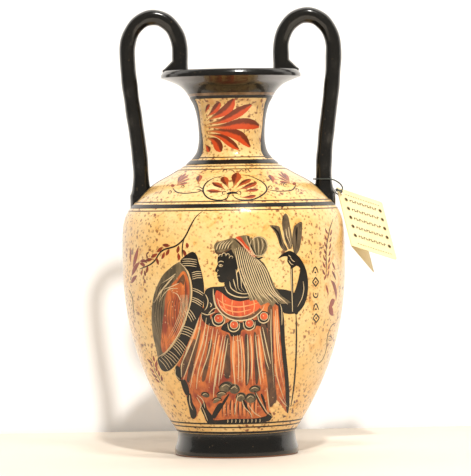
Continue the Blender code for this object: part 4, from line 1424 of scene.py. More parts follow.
def paint_garment():
    held = paints()
    red, brown, black, cream, pale, olive = (Coat(BODY) for _ in range(6))
    red.fill(GARMENT, lift=1.0, steps=2)
    # deep folds
    for points in (
        [(17.4, 86), (21, 86), (22.6, 74), (24, 60), (25.4, 46), (26.4, 35.4), (22.6, 31), (21.6, 44), (20, 58), (18.6, 72)],
        [(-6.4, 79), (-3.6, 79), (-3.4, 66), (-3.6, 52), (-7.6, 52), (-7, 66)],
        [(6.4, 79), (9.0, 79), (9.8, 66), (9.4, 50), (6.6, 46), (6.4, 62)],
        [(12.6, 80), (14.4, 80), (15, 66), (15.4, 50), (13.4, 47), (12.8, 62)],
        [(-17.4, 76), (-15.2, 76), (-17.6, 62), (-20.6, 50), (-23, 50), (-20.4, 62)],
        [(-25, 82), (-23, 82), (-26.6, 66), (-30.6, 50), (-33, 50), (-29.4, 66)],
    ):
        brown.fill(points, lift=1.5)
    brown.fill([(-30, 76), (-26.6, 76), (-30, 64), (-35.4, 52), (-39, 54), (-37.4, 60)], lift=1.4)
    # right mantle: a red fall with a black edge
    black.fill([(29.4, 99.4), (31.6, 99.6), (33.2, 90), (33.6, 75), (34.8, 60), (35.8, 45), (35.8, 33), (34.8, 26.4),
                (33.6, 29.4), (33.4, 38), (32.8, 52), (31.6, 64), (30.6, 78), (30, 90)], lift=2.0, steps=2)
    brown.fill([(22.4, 98), (25.6, 99), (25.4, 84), (25.6, 66), (26.4, 48), (27.4, 35.6), (24.8, 34.4), (23.8, 48), (22.8, 66), (22, 84)], lift=1.6)
    cream.strokes((
        [(27.4, 96), (27.8, 80), (29.4, 60), (32.8, 42)], [(26.4, 60), (28, 50), (31.6, 38), (34.2, 32)],
        [(24.6, 97), (24.2, 80), (24.8, 60), (25.6, 44)], [(28.6, 90), (29.4, 74), (31, 56)],
    ), 0.55, lift=3.0, shape=TAIL)
    pale.strokes((
        [(28.6, 97), (28.6, 80), (29, 66), (31.4, 46)], [(26.6, 92), (26.6, 74), (27.6, 56), (30, 42)],
        [(-24, 94), (-27, 82), (-32, 70), (-36, 62)], [(-10.6, 80), (-13.6, 64), (-16.4, 50)],
        [(4.6, 79), (6, 60), (5.6, 44)], [(11, 79), (11.4, 62), (11, 46)], [(-0.4, 76), (-1, 60), (-0.4, 46)],
        [(-20, 86), (-25, 66), (-29, 52)], [(16, 78), (17.6, 62), (19, 46)],
    ), 1.1, lift=1.8, shape=TAIL)
    # cream pleats
    cream.strokes((
        [(-22, 95), (-25, 80), (-31, 62), (-35.4, 50)], [(-19, 92), (-22, 75), (-28, 58), (-30.6, 45)],
        [(-24, 92), (-28.4, 80), (-33.6, 68)], [(-17.2, 88), (-20.4, 72), (-25, 56), (-26.6, 44)],
        [(-14.6, 85), (-18, 68), (-23.8, 52)], [(-11.8, 84), (-15.6, 62), (-18, 48)],
        [(-8, 80), (-11.6, 62), (-14, 45)], [(-6.4, 79), (-9.6, 62), (-11.6, 46)], [(-4.8, 78), (-8, 60), (-10, 50)],
        [(-1, 80), (-1.8, 64), (-0.4, 45)], [(1.6, 80), (2.2, 64), (1.6, 48)], [(3.2, 80), (4.4, 64), (4.2, 48)],
        [(8.4, 80), (8.6, 62), (8.0, 47)], [(10.2, 80), (11, 64), (10.4, 50)], [(13.6, 80), (15, 62), (16.8, 46)],
        [(15.6, 80), (16.6, 64), (18.4, 50)], [(16.8, 84), (19.8, 66), (22.4, 56)], [(18.6, 85), (21.2, 72), (23.6, 60)],
        [(-32.6, 70), (-36.2, 60), (-36.4, 52)], [(-27.2, 84), (-31.6, 71), (-36.8, 60)],
        [(-12.4, 60), (-14.6, 46), (-15.2, 38)], [(20.8, 44), (21.6, 36), (22.4, 28)],
    ), 0.62, lift=3.0)
    # gathered hem
    hem = [(-19.8, 21), (-12, 20.5), (0, 20.4), (12, 20.6), (21.4, 21.4), (24, 24.4), (22.4, 27.4), (20, 25), (14, 23.6),
           (6, 23.2), (-2, 23.4), (-10, 22.8), (-15.4, 22.8), (-17.8, 25)]
    black.fill(hem, lift=2.2)
    for points in (
        [(-41, 56.6), (-39.6, 60), (-36.6, 57), (-36.4, 52.4), (-37.2, 49.2), (-40, 52.4)],
        [(-37, 49.4), (-34.4, 50.4), (-32, 46), (-31.4, 41), (-33.6, 40), (-35.6, 44)],
        [(-33.2, 38.6), (-30.6, 41), (-29.4, 35), (-27, 30), (-26.8, 26), (-28.6, 23.8), (-30.6, 25), (-31.8, 31)],
        [(-23.6, 30.6), (-21.4, 35.4), (-19.4, 30), (-16.4, 26), (-15.6, 22.6), (-19.6, 21.4), (-21.6, 25.6)],
        [(-16.4, 26), (-12.2, 33.4), (-9.4, 33.8), (-10.6, 30), (-14.6, 24)],
    ):
        black.fill(points, lift=2.3)
    for x, z, w, h, turn in (
        (-6.6, 45, 5.0, 3.6, 20), (-1.0, 43.6, 3.8, 3.4, -10), (3.4, 38, 3.6, 3.2, 10), (9.8, 37.2, 3.8, 3.4, 0),
        (12.8, 43.4, 4.0, 2.4, 12), (-20.6, 40, 3.0, 1.8, -20), (-9.4, 40.6, 4.0, 1.6, 30), (-12.6, 36.6, 3.6, 1.4, 40),
    ):
        olive.blob(x, z, w, h, turn=turn, lift=2.0)
        black.stroke([(x - w, z - 0.6), (x - w * 0.4, z + h * 0.7), (x + w * 0.5, z + h * 0.6), (x + w * 0.8, z - h * 0.4), (x, z - h * 0.8)], 0.9, lift=2.8, shape=TAIL)
        cream.stroke([(x - w * 0.6, z), (x, z + h * 0.45), (x + w * 0.5, z)], 0.5, lift=3.4, shape=TAIL)
    black.strokes((
        [(12.6, 42), (16, 34), (19.6, 27.4), (22.6, 24)], [(-4.8, 40), (-8.6, 34), (-12.6, 27), (-15, 23)],
        [(5, 36), (7.4, 30), (10, 25)], [(17, 40), (19, 34), (20.6, 27)],
    ), 1.7, lift=2.6, shape=TAIL)
    cream.strokes((
        [(13.2, 41), (16.8, 34), (20.4, 28), (24, 24.6)], [(4, 36), (5.4, 31.4), (9.4, 27), (10.6, 23.6)],
        [(-26, 40), (-22.4, 36.4), (-21, 31)], [(-26.4, 38.6), (-23.6, 33), (-24.8, 30)],
        [(-22.8, 31.6), (-21, 27), (-19.4, 22.4)], [(-40.4, 58), (-40.4, 53.6), (-37.4, 50.4)],
        [(-31.2, 40), (-31, 34), (-29.4, 30)], [(29, 38), (31.6, 34), (34.4, 31)],
        [(8, 33), (12, 27.4), (16.6, 24.4)], [(1.4, 40), (-0.4, 33), (-1, 26)],
    ), 0.55, lift=3.2)
    for step in range(9):
        x = -6 + step * 2.7
        cream.stroke([(x, 20.8), (x + 0.3, 22), (x + 0.2, 23.2)], 0.5, lift=3.2)
        brown.stroke([(x - 3, 34 + (step % 3)), (x - 3.4, 29), (x - 3.2, 24.4)], 0.8, lift=1.8, shape=TAIL)
        pale.stroke([(x - 2, 36 - (step % 2) * 3), (x - 2.3, 30), (x - 2.1, 25)], 0.8, lift=1.9, shape=TAIL)
    red.lay("garment", held["paint_red"])
    brown.lay("garment_folds", held["paint_brown"])
    pale.lay("garment_lights", held["paint_pale_red"])
    olive.lay("garment_gathers", held["paint_olive"])
    black.lay("garment_hem", held["paint_black"], "black_glaze")
    cream.lay("garment_lines", held["paint_cream"])


def paint_bust():
    """Arms, chest, collar, head and hair. The face is a plain classical one of no model."""
    held = paints()
    black, red, cream, hair, brown, pale = (Coat(BODY) for _ in range(6))
    # chest and left shoulder
    black.fill([(-6.4, 116), (0, 121), (8, 120), (12, 108), (14, 101), (8, 99), (-2, 100), (-12, 104), (-13, 97),
                (-17, 94), (-20.4, 97), (-20.6, 104), (-19.6, 110), (-16, 112.4), (-10, 112.8), (-6.6, 113.2)], lift=1.6)
    # right arm raised to hold the staff
    black.fill([(26, 110.6), (30, 110.4), (34, 110), (38.4, 108.8), (40.2, 107.6), (42.2, 113), (43.8, 119), (44.6, 124.2),
                (42, 126), (39.4, 124.2), (37.4, 126.6), (36, 129), (36.2, 132), (34, 132.4), (30.8, 131.4), (29.4, 130.6), (31.8, 133.2),
                (35.4, 135.4), (38.4, 136), (42.2, 133.6), (46, 129), (48.8, 122.4), (49.8, 114), (49.2, 106), (47, 99.6),
                (43.4, 95), (39.6, 93.6), (33.4, 94), (30.6, 98), (26, 102)], lift=1.8, steps=2)
    # collar
    red.fill([(-12.2, 110), (-8.4, 108.4), (-5.6, 106), (-2, 103.8), (4, 102.6), (10, 103.6), (15.4, 103), (18.4, 100.4), (16, 97),
              (12, 94.6), (4, 92.6), (-3, 93.2), (-8.8, 96.8), (-12.6, 103)], lift=2.2)
    brown.stroke([(-12.8, 108), (-12, 102), (-8, 95.4), (-2, 91.4), (5, 90.6), (12, 92.6), (17.4, 97.4)], 2.4, lift=2.0, shape=(1, 1))
    cream.stroke([(-13.6, 107), (-12.4, 100), (-8.2, 94), (-2, 90.4), (5, 89.6), (12.4, 91.4), (18.6, 96.6), (20, 99.6)], 0.8, lift=3.2)
    cream.stroke([(-11.4, 105), (-9.8, 99.4), (-5.4, 94.4), (1, 92.2), (8, 92.8), (13.6, 96)], 0.5, lift=3.2)
    pale.strokes((
        [(-11.6, 104.4), (-6, 100.6), (2, 98.8), (10, 99.8), (16.4, 101.6)], [(-9.6, 99.8), (-4, 96.6), (3, 95.4), (11, 97)],
        [(-8, 108), (-7.8, 102), (-5.4, 95.6)], [(-1.4, 103.6), (-1.8, 98), (-1, 93.4)], [(6, 102.6), (6.4, 97.6), (6.8, 93.2)],
        [(13, 103.2), (13.4, 99), (12.6, 95.4)],
    ), 0.7, lift=2.6)
    # scalloped edge of the collar
    for x, z, r in ((-11, 90.6, 5.0), (-0.8, 86.2, 4.5), (9.6, 87.0, 4.5), (19.4, 91.6, 4.4)):
        black.blob(x, z, r, r * 0.94, lift=2.0)
        red.blob(x + 0.3, z + 0.6, r * 0.55, r * 0.5, lift=2.6)
        cream.stroke([(x - r * 0.9, z + r * 0.4), (x - r * 0.7, z - r * 0.55), (x, z - r * 0.9), (x + r * 0.75, z - r * 0.5), (x + r * 0.9, z + r * 0.4)], 0.65, lift=3.2)
        cream.hoop(x + 0.3, z + 0.6, r * 0.6, 0.4, lift=3.2)
        cream.blob(x - 0.2, z + 1.0, 0.4, 0.4, lift=3.4, sides=8)
    black.fill([(-9.4, 84), (-4, 81.4), (-2.6, 79), (1, 79.4), (3.6, 80), (5, 83.4), (13, 83.6), (15, 86), (22.6, 84), (24, 88.4),
                (16, 90), (4.6, 88.4), (-5.6, 88.4)], lift=1.4)
    black.fill([(-23, 98), (-17, 97), (-16.4, 91), (-12, 86), (-17.4, 86.6), (-21.4, 90)], lift=1.5)
    # head: a plain profile looking left, in thirds from hairline to chin
    black.fill([(-9.6, 135.8), (-10.7, 132.8), (-11.1, 129.6), (-10.8, 128.0), (-11.9, 125.8), (-12.8, 123.4), (-11.7, 122.5),
                (-11.2, 121.4), (-11.8, 120.5), (-11.1, 119.8), (-11.5, 119.0), (-10.7, 118.0), (-10.6, 116.6), (-9.0, 115.4),
                (-6.0, 115.6), (-3.0, 116.8), (0.5, 119.5), (2.6, 125), (2.6, 132), (0.5, 137), (-5, 138)], lift=2.0)
    black.fill([(-3.4, 117.4), (1, 121), (5, 124), (8, 120), (7.6, 112), (9, 106), (4, 103.8), (-2, 105), (-5, 109.4), (-5.6, 113.6)], lift=1.8)
    cream.stroke([(-10.3, 126.9), (-8.9, 127.6), (-7.3, 126.8)], 0.4, lift=3.2)
    cream.stroke([(-10.2, 126.6), (-8.8, 126.1), (-7.3, 126.8)], 0.34, lift=3.2)
    cream.blob(-9.2, 126.8, 0.35, 0.42, lift=3.2, sides=8)
    cream.stroke([(-10.6, 129.0), (-8.8, 129.9), (-6.6, 129.2)], 0.4, lift=3.2)
    cream.stroke([(-11.3, 120.1), (-10.3, 119.9), (-9.5, 120.2)], 0.36, lift=3.2)
    cream.stroke([(-11.2, 122.9), (-10.7, 123.6), (-11.0, 124.2)], 0.34, lift=3.2)
    # curls over the brow
    for x, z, r in ((-8.6, 133.2, 1.6), (-6.2, 134.2, 1.7), (-3.6, 133.6, 1.7), (-1.4, 132.0, 1.7)):
        cream.curl(x, z, r, 0.8, 190, 0.5, lift=3.3, way=-1)
    # front roll and crown
    hair.fill([(-9.4, 134.8), (-12.2, 136.6), (-13.2, 139.4), (-12.2, 142), (-9, 143.4), (-6, 144), (-2, 145.2), (0.6, 144.8),
               (0, 141), (-1.6, 138), (-5, 136.2)], lift=2.6)
    hair.fill([(0.4, 144.6), (3, 146.2), (6.4, 147), (10.4, 146.6), (13, 143), (13.4, 137), (15.4, 132.4), (20.4, 128), (24.4, 119.4),
               (28, 111.4), (32, 105.4), (38.2, 101), (31, 100.6), (28.4, 102.4), (25.8, 98.6), (22.6, 101.6), (17.6, 99.4), (14.6, 103.6),
               (10.6, 102.6), (9, 108), (7.6, 114), (5, 121), (2.4, 128), (0.4, 134), (-1.6, 138.4)], lift=2.4, steps=2)
    hair.blob(16.8, 139.4, 6.2, 7.0, turn=-14, lift=3.0, sides=16)
    brown.fill([(-12.8, 137.4), (-10, 135.6), (-5.4, 136.8), (-1.2, 139.6), (-3.4, 137), (-8.4, 134.6), (-11.6, 134.8)], lift=3.0)
    red.fill([(1.4, 145.4), (4.6, 146.2), (8, 141.4), (12, 137), (15.4, 132), (12.4, 132.6), (8.2, 137.4), (4, 142.4)], lift=3.6)
    black.stroke([(0.2, 145), (4, 141.6), (8, 136.6), (12.8, 132), (16.8, 130.6)], 0.8, lift=3.8)
    black.stroke([(9.8, 146.6), (11, 142), (13, 137), (15.8, 132.6)], 0.8, lift=3.8)
    cream.stroke([(1.0, 145.6), (4.8, 142.4), (8.8, 137.4), (13.2, 132.8)], 0.45, lift=4.2)
    cream.stroke([(8.6, 146.6), (9.6, 143), (12.2, 137), (14.8, 133)], 0.45, lift=4.2)
    # bun, tie and long locks
    for step in range(7):
        shift = step * 1.35
        (cream if step % 2 else black).stroke([(12.2 + shift, 145.8 - step * 0.3), (12.4 + shift * 1.1, 140), (13.8 + shift * 0.7, 135.4), (15.6 + shift * 0.35, 132.8)], 0.4, lift=4.0, shape=TAIL)
    cream.hoop(16.8, 139.5, 5.9, 0.4, lift=4.0, height=6.5)
    black.stroke([(14.2, 132.4), (16.6, 131.2), (19.6, 132.2)], 1.1, lift=4.0)
    for step in range(13):
        share = step / 12
        start = (0.8 + 14.4 * share, 138 - 6.6 * share + 4 * math.sin(math.pi * share))
        knee = (3.8 + 17.6 * share, 122 + 1.5 * share)
        calf = (8.4 + 18.4 * share, 110 - 0.6 * share)
        end = (10.8 + 25 * share, 103.6 - 2.4 * share + 1.4 * math.cos(step * 2.4))
        cream.stroke([start, knee, calf, end], 0.62, lift=3.8)
        black.stroke(
            [(start[0] + 0.7, start[1]), (knee[0] + 0.8, knee[1]), (calf[0] + 0.8, calf[1]), (end[0] + 0.7, end[1] + 0.6)],
            0.5, lift=3.4, shape=TAIL)
    for step in range(5):
        shift = step * 1.9
        cream.stroke([(-11.6 + shift, 137.6 + shift * 0.1), (-10.4 + shift, 141), (-7.6 + shift, 143.4 + shift * 0.06)], 0.6, lift=3.6, shape=TAIL)
        black.stroke([(-10.8 + shift, 137.2 + shift * 0.1), (-9.4 + shift, 140.4), (-6.8 + shift, 142.8)], 0.5, lift=3.5, shape=TAIL)
    # side locks before the shoulder, necklace and shoulder lines
    cream.strokes((
        [(1.4, 124), (2.2, 117), (2.8, 111.4), (5.6, 108.6)], [(3.2, 124.6), (4.6, 118), (5, 112), (7.4, 108.8)],
        [(5, 125), (7, 118), (7.6, 112), (9.4, 109)], [(-0.6, 117.6), (0.8, 112.4), (1.8, 109.4)],
    ), 0.55, lift=3.4, shape=TAIL)
    cream.stroke([(-6.4, 112.6), (-4.4, 108.8), (0, 106.2), (5, 105.2), (9.8, 105.4)], 0.7, lift=3.2)
    cream.stroke([(-3, 116), (-2.2, 111.8), (1.6, 108.8), (6, 107.6), (10, 107.8)], 0.55, lift=3.2)
    cream.strokes((
        [(-19.4, 107.6), (-17.8, 103.6), (-18.6, 99.2), (-20.2, 96.8)], [(-14.2, 111.4), (-14, 105), (-12.8, 99)],
        [(-17.6, 94.4), (-14.6, 97.6), (-12, 98.2)], [(-16.6, 102), (-15.4, 100.4), (-16.4, 99)],
        [(-22.4, 95.4), (-18.4, 93.8), (-13.2, 95.6)],
    ), 0.55, lift=3.2)
    # arm lines, wrist and fingers
    cream.stroke([(46.4, 115.4), (46.8, 110), (45.4, 104), (42.4, 98.4)], 0.5, lift=3.2)
    cream.strokes(([(37, 129.6), (38.4, 127.4), (40, 126.6)], [(38, 131.6), (39.6, 129.4), (41.2, 128.6)], [(36.8, 133.2), (38.6, 131.8)]), 0.42, lift=3.2)
    cream.stroke([(30.6, 100.4), (31.6, 97), (31.8, 92), (31.6, 86)], 0.5, lift=3.2)
    black.lay("bust_black", held["paint_black"], "black_glaze")
    red.lay("bust_red", held["paint_bright"])
    brown.lay("bust_brown", held["paint_brown"])
    pale.lay("bust_lights", held["paint_pale_red"])
    hair.lay("bust_hair", held["paint_hair"])
    cream.lay("bust_lines", held["paint_cream"])


def paint_staff():
    held = paints()
    dusk, black, cream = Coat(BODY), Coat(BODY, bold=1.35), Coat(BODY)
    black.stroke([(38.8, 125), (39.0, 110), (39.3, 94)], 1.3, lift=2.0, shape=(1, 1))
    cream.stroke([(38.5, 124), (38.7, 110), (38.9, 95)], 0.5, lift=3.2, shape=(1, 1))
    black.stroke([(41.2, 95), (41.4, 80), (40.7, 62), (39.0, 44), (36.9, 31.4)], 0.9, lift=2.0)
    black.stroke([(40.4, 95), (41.4, 93.6), (42.8, 94.6)], 1.0, lift=2.0)
    dusk.fill([(24.6, 153.2), (27.8, 153.4), (31, 152.4), (32.2, 148), (33.8, 142), (36.4, 137), (34, 136.2), (31.4, 139.4), (30, 144), (28, 148.8)], lift=1.6)
    dusk.fill([(35.2, 161.4), (37.2, 159), (38.2, 153.4), (39.4, 146), (39.4, 139), (37, 137.4), (34.6, 144), (33.2, 150.6), (33, 157.4)], lift=1.2)
    dusk.fill([(46.2, 155.4), (46.4, 150.6), (45.6, 143), (44.2, 136.6), (41.6, 133.4), (40, 137.4), (39.6, 145), (40.8, 151.6), (43, 154.2)], lift=1.6)
    cream.strokes((
        [(35.4, 151), (36, 146), (38, 141), (38.8, 137)], [(33.4, 150), (34.4, 144), (37, 138)], [(37.2, 152), (37.8, 146), (39, 140)],
    ), 0.5, lift=2.6, shape=TAIL)
    black.strokes(([(26, 152.6), (30, 148.6), (32, 142), (34.4, 137)], [(43, 152), (42.4, 146), (42, 138)]), 0.9, lift=2.2, shape=TAIL)
    # ornament marks beside the staff: lozenge, dots and dashes
    for z in (122.4, 97.6):
        black.strokes(([(52.8, z - 1.8), (54.8, z + 2.6), (56.8, z - 1.8)],), 0.7)
        black.blob(54.8, z - 1.2, 0.6, 0.6, sides=8)
    for z in (114.8, 90.4):
        black.stroke([(54.9, z + 3.0), (57.0, z), (54.9, z - 3.0), (52.8, z), (54.9, z + 3.0)], 0.7, steps=1, shape=(1, 1))
        black.blob(54.9, z, 0.55, 0.6, sides=8)
    black.strokes(([(53.2, 107.8), (53.4, 105.4), (54.8, 104.2), (56.2, 105.4), (56.4, 107.8)],), 0.7)
    black.blob(54.8, 106.8, 0.5, 0.5, sides=8)
    dusk.lay("staff_flower", held["paint_lotus"])
    black.lay("staff_and_marks", held["paint_black"], "black_glaze")
    cream.lay("staff_lines", held["paint_cream"])


# ---- The tag ----

TAG_TILT = Euler((math.radians(-33), math.radians(15), math.radians(39)))
TAG_OPENING = math.radians(26)
LOOP_MIDDLE = Vector((0.0615, 0.0, 0.183933))
THREAD_ROUTE = (
    (0.00950, -0.00200, -0.00745),
    (0.01030, -0.00110, -0.00750),
    (0.01160, 0.00045, -0.00770),
    (0.01228, 0.00175, -0.00815),
    (0.01202, 0.00275, -0.00880),
    (0.01130, 0.00345, -0.00940),
    (0.01045, 0.00418, -0.01010),
    (0.00955, 0.00528, -0.01035),
    (0.00845, 0.00645, -0.00960),
    (0.00730, 0.00700, -0.00780),
    (0.00580, 0.00680, -0.00520),
    (0.00410, 0.00640, -0.00270),
    (0.00190, 0.00640, -0.00090),
    (-0.00070, 0.00650, 0.00005),
    (-0.00350, 0.00560, 0.00020),
    (-0.00590, 0.00330, 0.00030),
    (-0.00700, 0.00010, 0.00030),
    (-0.00590, -0.00320, 0.00025),
    (-0.00320, -0.00570, 0.00025),
    (0.00010, -0.00650, 0.00020),
    (0.00330, -0.00590, 0.00010),
    (0.00620, -0.00440, -0.00040),
    (0.00890, -0.00270, -0.00170),
    (0.01120, -0.00130, -0.00350),
    (0.01250, -0.00030, -0.00565),
    (0.01225, -0.00120, -0.00720),
    (0.01135, -0.00240, -0.00810),
    (0.01040, -0.00310, -0.00820),
    (0.00978, -0.00350, -0.00794),
)


def fold_place():
    to_hole = Vector((0.0030, -0.000325, -0.0035))
    return LOOP_MIDDLE + Vector((0.0118, 0.0030, -0.0090)) - TAG_TILT.to_matrix() @ to_hole


def leaf_form():
    """One leaf lying flat with rounded free corners, cut on a net."""
    width, length, round_by = 0.0420, 0.0480, 0.0022
    form = bmesh.new()
    bmesh.ops.create_grid(form, x_segments=24, y_segments=28, size=0.5)
    for corner in form.verts:
        corner.co = (0.0003 + (corner.co.x + 0.5) * (width - 0.0003), 0, (corner.co.y - 0.5) * length)
    outer = [
        corner for corner in form.verts
        if abs(corner.co.x - width) < 1e-7 and min(-corner.co.z, corner.co.z + length) < 1e-7
    ]
    bmesh.ops.bevel(
        form, geom=outer, offset=round_by * 0.75, offset_type="OFFSET", segments=6,
        profile=0.5, affect="VERTICES", material=-1,
    )
    return form


def punched(form, across, down, radius):
    """Opens a round hole: the face under it is inset to a ring and taken out."""
    def far(face):
        middle = face.calc_center_median()
        return math.hypot(middle.x - across, middle.z + down)

    faces = sorted(form.faces, key=far)[:4]
    joined = bmesh.ops.dissolve_faces(form, faces=faces)["region"]
    middle = Vector((across, 0, -down))
    inner = bmesh.ops.inset_region(form, faces=joined, thickness=0.0002)
    for corner in joined[0].verts:
        away = (corner.co - middle).normalized() * radius
        corner.co = middle + away
    bmesh.ops.subdivide_edges(form, edges=joined[0].edges[:], cuts=2)
    for corner in joined[0].verts:
        corner.co = middle + (corner.co - middle).normalized() * radius
    bmesh.ops.delete(form, geom=joined, context="FACES")


def leaf_place(opening):
    return (
        Matrix.Translation(fold_place()) @ TAG_TILT.to_matrix().to_4x4()
        @ Matrix.Rotation(opening, 4, "Z")
    )


def tag_leaf(name, body, node, opening, offset, hole, material):
    form = leaf_form()
    punched(form, hole, 0.0035, 0.0016)
    bmesh.ops.solidify(form, geom=form.faces[:], thickness=0.00035)
    low = min(corner.co.y for corner in form.verts)
    for corner in form.verts:
        corner.co.y += offset - low - 0.000175
    bmesh.ops.transform(form, matrix=leaf_place(opening), verts=form.verts)
    bmesh.ops.recalc_face_normals(form, faces=form.faces)
    piece = add_piece(name, form, material, body)
    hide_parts(node)
    return piece


class Print:
    """Flat marks on a leaf of the card, in millimetres from the fold's top end."""

    def __init__(self):
        self.form = bmesh.new()

    def bar(self, across, down, wide, high, turn=0.0):
        made = bmesh.ops.create_grid(self.form, x_segments=1, y_segments=1, size=0.5)["verts"]
        turned_by = Matrix.Rotation(math.radians(turn), 2)
        for corner in made:
            reach = turned_by @ Vector((corner.co.x * wide, corner.co.y * high))
            corner.co = ((across + reach.x) * MM, 0, (reach.y - down) * MM)

    def rosette(self, across, down, radius):
        for step in range(4):
            self.bar(across, down, radius * 2, radius * 0.34, turn=45 * step)
        made = bmesh.ops.create_circle(self.form, segments=12, radius=radius * 0.55 * MM, cap_ends=True)["verts"]
        for corner in made:
            corner.co = (across * MM + corner.co.x, 0, corner.co.y - down * MM)

    def lay(self, name, body, opening, offset, material):
        for index, face in enumerate(self.form.faces):
            face.normal_update()
        over = [face for face in self.form.faces if face.normal.y > 0]
        bmesh.ops.reverse_faces(self.form, faces=over)
        bmesh.ops.solidify(self.form, geom=self.form.faces[:], thickness=0.00003)
        low = min(corner.co.y for corner in self.form.verts)
        for corner in self.form.verts:
            corner.co.y += offset - low - 0.000205
        bmesh.ops.transform(self.form, matrix=leaf_place(opening), verts=self.form.verts)
        bmesh.ops.recalc_face_normals(self.form, faces=self.form.faces)
        return add_piece(name, self.form, material, body)


def make_tag():
    paper = tuple(bpy.context.scene.amphora_tag.paper)
    card = card_paper("card_front", paper)
    # the back leaf is the same card as the front one, its colour darkened and cooled as painted shade for the shadow of
    # the front leaf
    inner = card_paper("card_back_painted_shade", tuple(c * k for c, k in zip(paper, (0.92, 0.94, 1.05))))
    gap = 0.000325
    tag_leaf("tag_front_card", "tag_front", "tag_front_leaf", 0.0, -gap, 0.0030, card)
    tag_leaf("tag_back_card", "tag_back", "tag_back_leaf", TAG_OPENING, gap, 0.0035, inner)
    marks = Print()
    for row in range(5):
        down = 8.6 + row * 7.4
        marks.rosette(6.0, down, 1.5)
        marks.rosette(37.4, down, 1.5)
        across = 9.4
        for step in range(11):
            tall = 2.3 if step % 3 else 1.7
            marks.bar(across, down, 0.55, tall, turn=8 if step % 2 else -6)
            marks.bar(across + 0.9, down + (0.55 if step % 2 else -0.55), 1.0, 0.5)
            across += 2.32
    for down in (4.4, 44.8):
        for step in range(14):
            marks.bar(7.0 + step * 2.3, down, 1.3, 0.35)
    marks.lay("tag_front_marks", "tag_front", 0.0, -gap, stamped_ink("card_ink"))


# ---- The thread ----


def thread_line():
    return smooth_line([LOOP_MIDDLE + Vector(place) for place in THREAD_ROUTE], 8)


def line_length(line):
    return sum((stop - start).length for start, stop in zip(line, line[1:]))


def make_thread():
    settings = bpy.context.scene.amphora_tag
    material = twisted_thread("thread_twist")
    curve = bpy.data.curves.new("tag_thread", "CURVE")
    curve.dimensions = "3D"
    curve.bevel_depth = settings.thread_diameter / 2
    curve.bevel_resolution = 4
    curve.use_fill_caps = True
    line = thread_line()
    spline = curve.splines.new("POLY")
    spline.points.add(len(line) - 1)
    for point, place in zip(spline.points, line):
        point.co = (*place, 1)
    curve.materials.append(material)
    thread = bpy.data.objects.new("tag_thread", curve)
    bpy.context.scene.collection.objects.link(thread)
    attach(thread, "vessel")
    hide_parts("tag_cord")
    # the overhand knot: a small trefoil pulled tight
    middle = LOOP_MIDDLE + Vector((0.0087, -0.0029, -0.0074))
    knot = []
    for step in range(49):
        t = math.tau * step / 48
        knot.append(middle + 0.00026 * Vector((
            math.sin(t) + 2 * math.sin(2 * t), 1.5 * -math.sin(3 * t), math.cos(t) - 2 * math.cos(2 * t),
        )))
    form = tube(knot, [0.00040] * len(knot), 4)
    piece = add_piece("tag_knot", form, material)
    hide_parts("cord_knot")
    line_length(line)


# ---- The stage ----


def make_stage():
    settings = bpy.context.scene.amphora_stage
    camera = bpy.data.objects.new("camera", bpy.data.cameras.new("camera"))
    camera.data.lens = 250.8
    camera.data.sensor_width = 36
    camera.data.clip_end = 50
    bpy.context.scene.collection.objects.link(camera)
    turn = (AIM - EYE).to_track_quat("-Z", "Y").to_matrix().to_4x4()
    camera.matrix_world = (
        Matrix.Translation(EYE) @ turn @ Matrix.Rotation(math.radians(-0.94), 4, "Z")
    )
    bpy.context.scene.camera = camera
    bpy.context.scene.view_settings.view_transform = "Standard"

    form = bmesh.new()
    bmesh.ops.create_cube(form, size=1)
    bmesh.ops.scale(form, verts=form.verts, vec=(3.2, 2.4, 0.03))
    bmesh.ops.translate(form, verts=form.verts, vec=(0, 0.218 - 1.2, -0.0151))
    bmesh.ops.bevel(
        form, geom=form.edges[:], offset=0.004, offset_type="OFFSET", segments=4,
        profile=0.5, affect="EDGES", material=-1,
    )
    floor = stage_piece("table", form, table_top("table_paint", tuple(settings.floor)))
    form = bmesh.new()
    bmesh.ops.create_grid(form, x_segments=1, y_segments=1, size=0.5)
    bmesh.ops.scale(form, verts=form.verts, vec=(3.2, 3.0, 1))
    bmesh.ops.rotate(form, verts=form.verts, matrix=Matrix.Rotation(math.pi / 2, 3, "X"))
    bmesh.ops.translate(form, verts=form.verts, vec=(0, 0.224, 0.8))
    wall = stage_piece("wall", form, white_wall("wall_paint"))

    world = bpy.data.worlds.new("studio")
    bpy.context.scene.world = world
    world.use_nodes = True
    sky = world.node_tree.nodes["Background"]
    sky.inputs["Color"].default_value = (1.0, 1.0, 1.0, 1)
    sky.inputs["Strength"].default_value = 0.20
    add_light("key", (0.32, -0.78, 1.9), (0, 0, 0.14), settings.key, 0.30, (1.0, 0.97, 0.92))
    front = add_light(
        "front", (0.226, -1.95, 1.82), (0, 0, 0.12), settings.front, 0.12, (1.0, 0.98, 0.95)
    )
    front.visible_glossy = False


def add_light(name, place, aim, power, size, colour):
    lamp = bpy.data.lights.new(name, "AREA")
    lamp.shape = "DISK"
    lamp.size = size
    lamp.energy = power
    lamp.color = colour
    lit = bpy.data.objects.new(name, lamp)
    lit.location = place
    lit.rotation_euler = (Vector(aim) - Vector(place)).to_track_quat("-Z", "Y").to_euler()
    bpy.context.scene.collection.objects.link(lit)
    return lit


def stage_piece(name, form, material):
    mesh = bpy.data.meshes.new(name)
    form.to_mesh(mesh)
    form.free()
    mesh.materials.append(material)
    piece = bpy.data.objects.new(name, mesh)
    bpy.context.scene.collection.objects.link(piece)
    return piece


# ---- Operators ----


class AMPHORA_OT_stage(bpy.types.Operator):
    """Set the camera, the table, the wall and the lights"""

    bl_idname = "amphora.stage"
    bl_label = "Stage"

    def execute(self, context):
        make_stage()
        return {"FINISHED"}


class AMPHORA_OT_thread(bpy.types.Operator):
    """Loop the thread round the right handle and knot it"""

    bl_idname = "amphora.thread"
    bl_label = "Thread"

    def execute(self, context):
        make_thread()
        return {"FINISHED"}


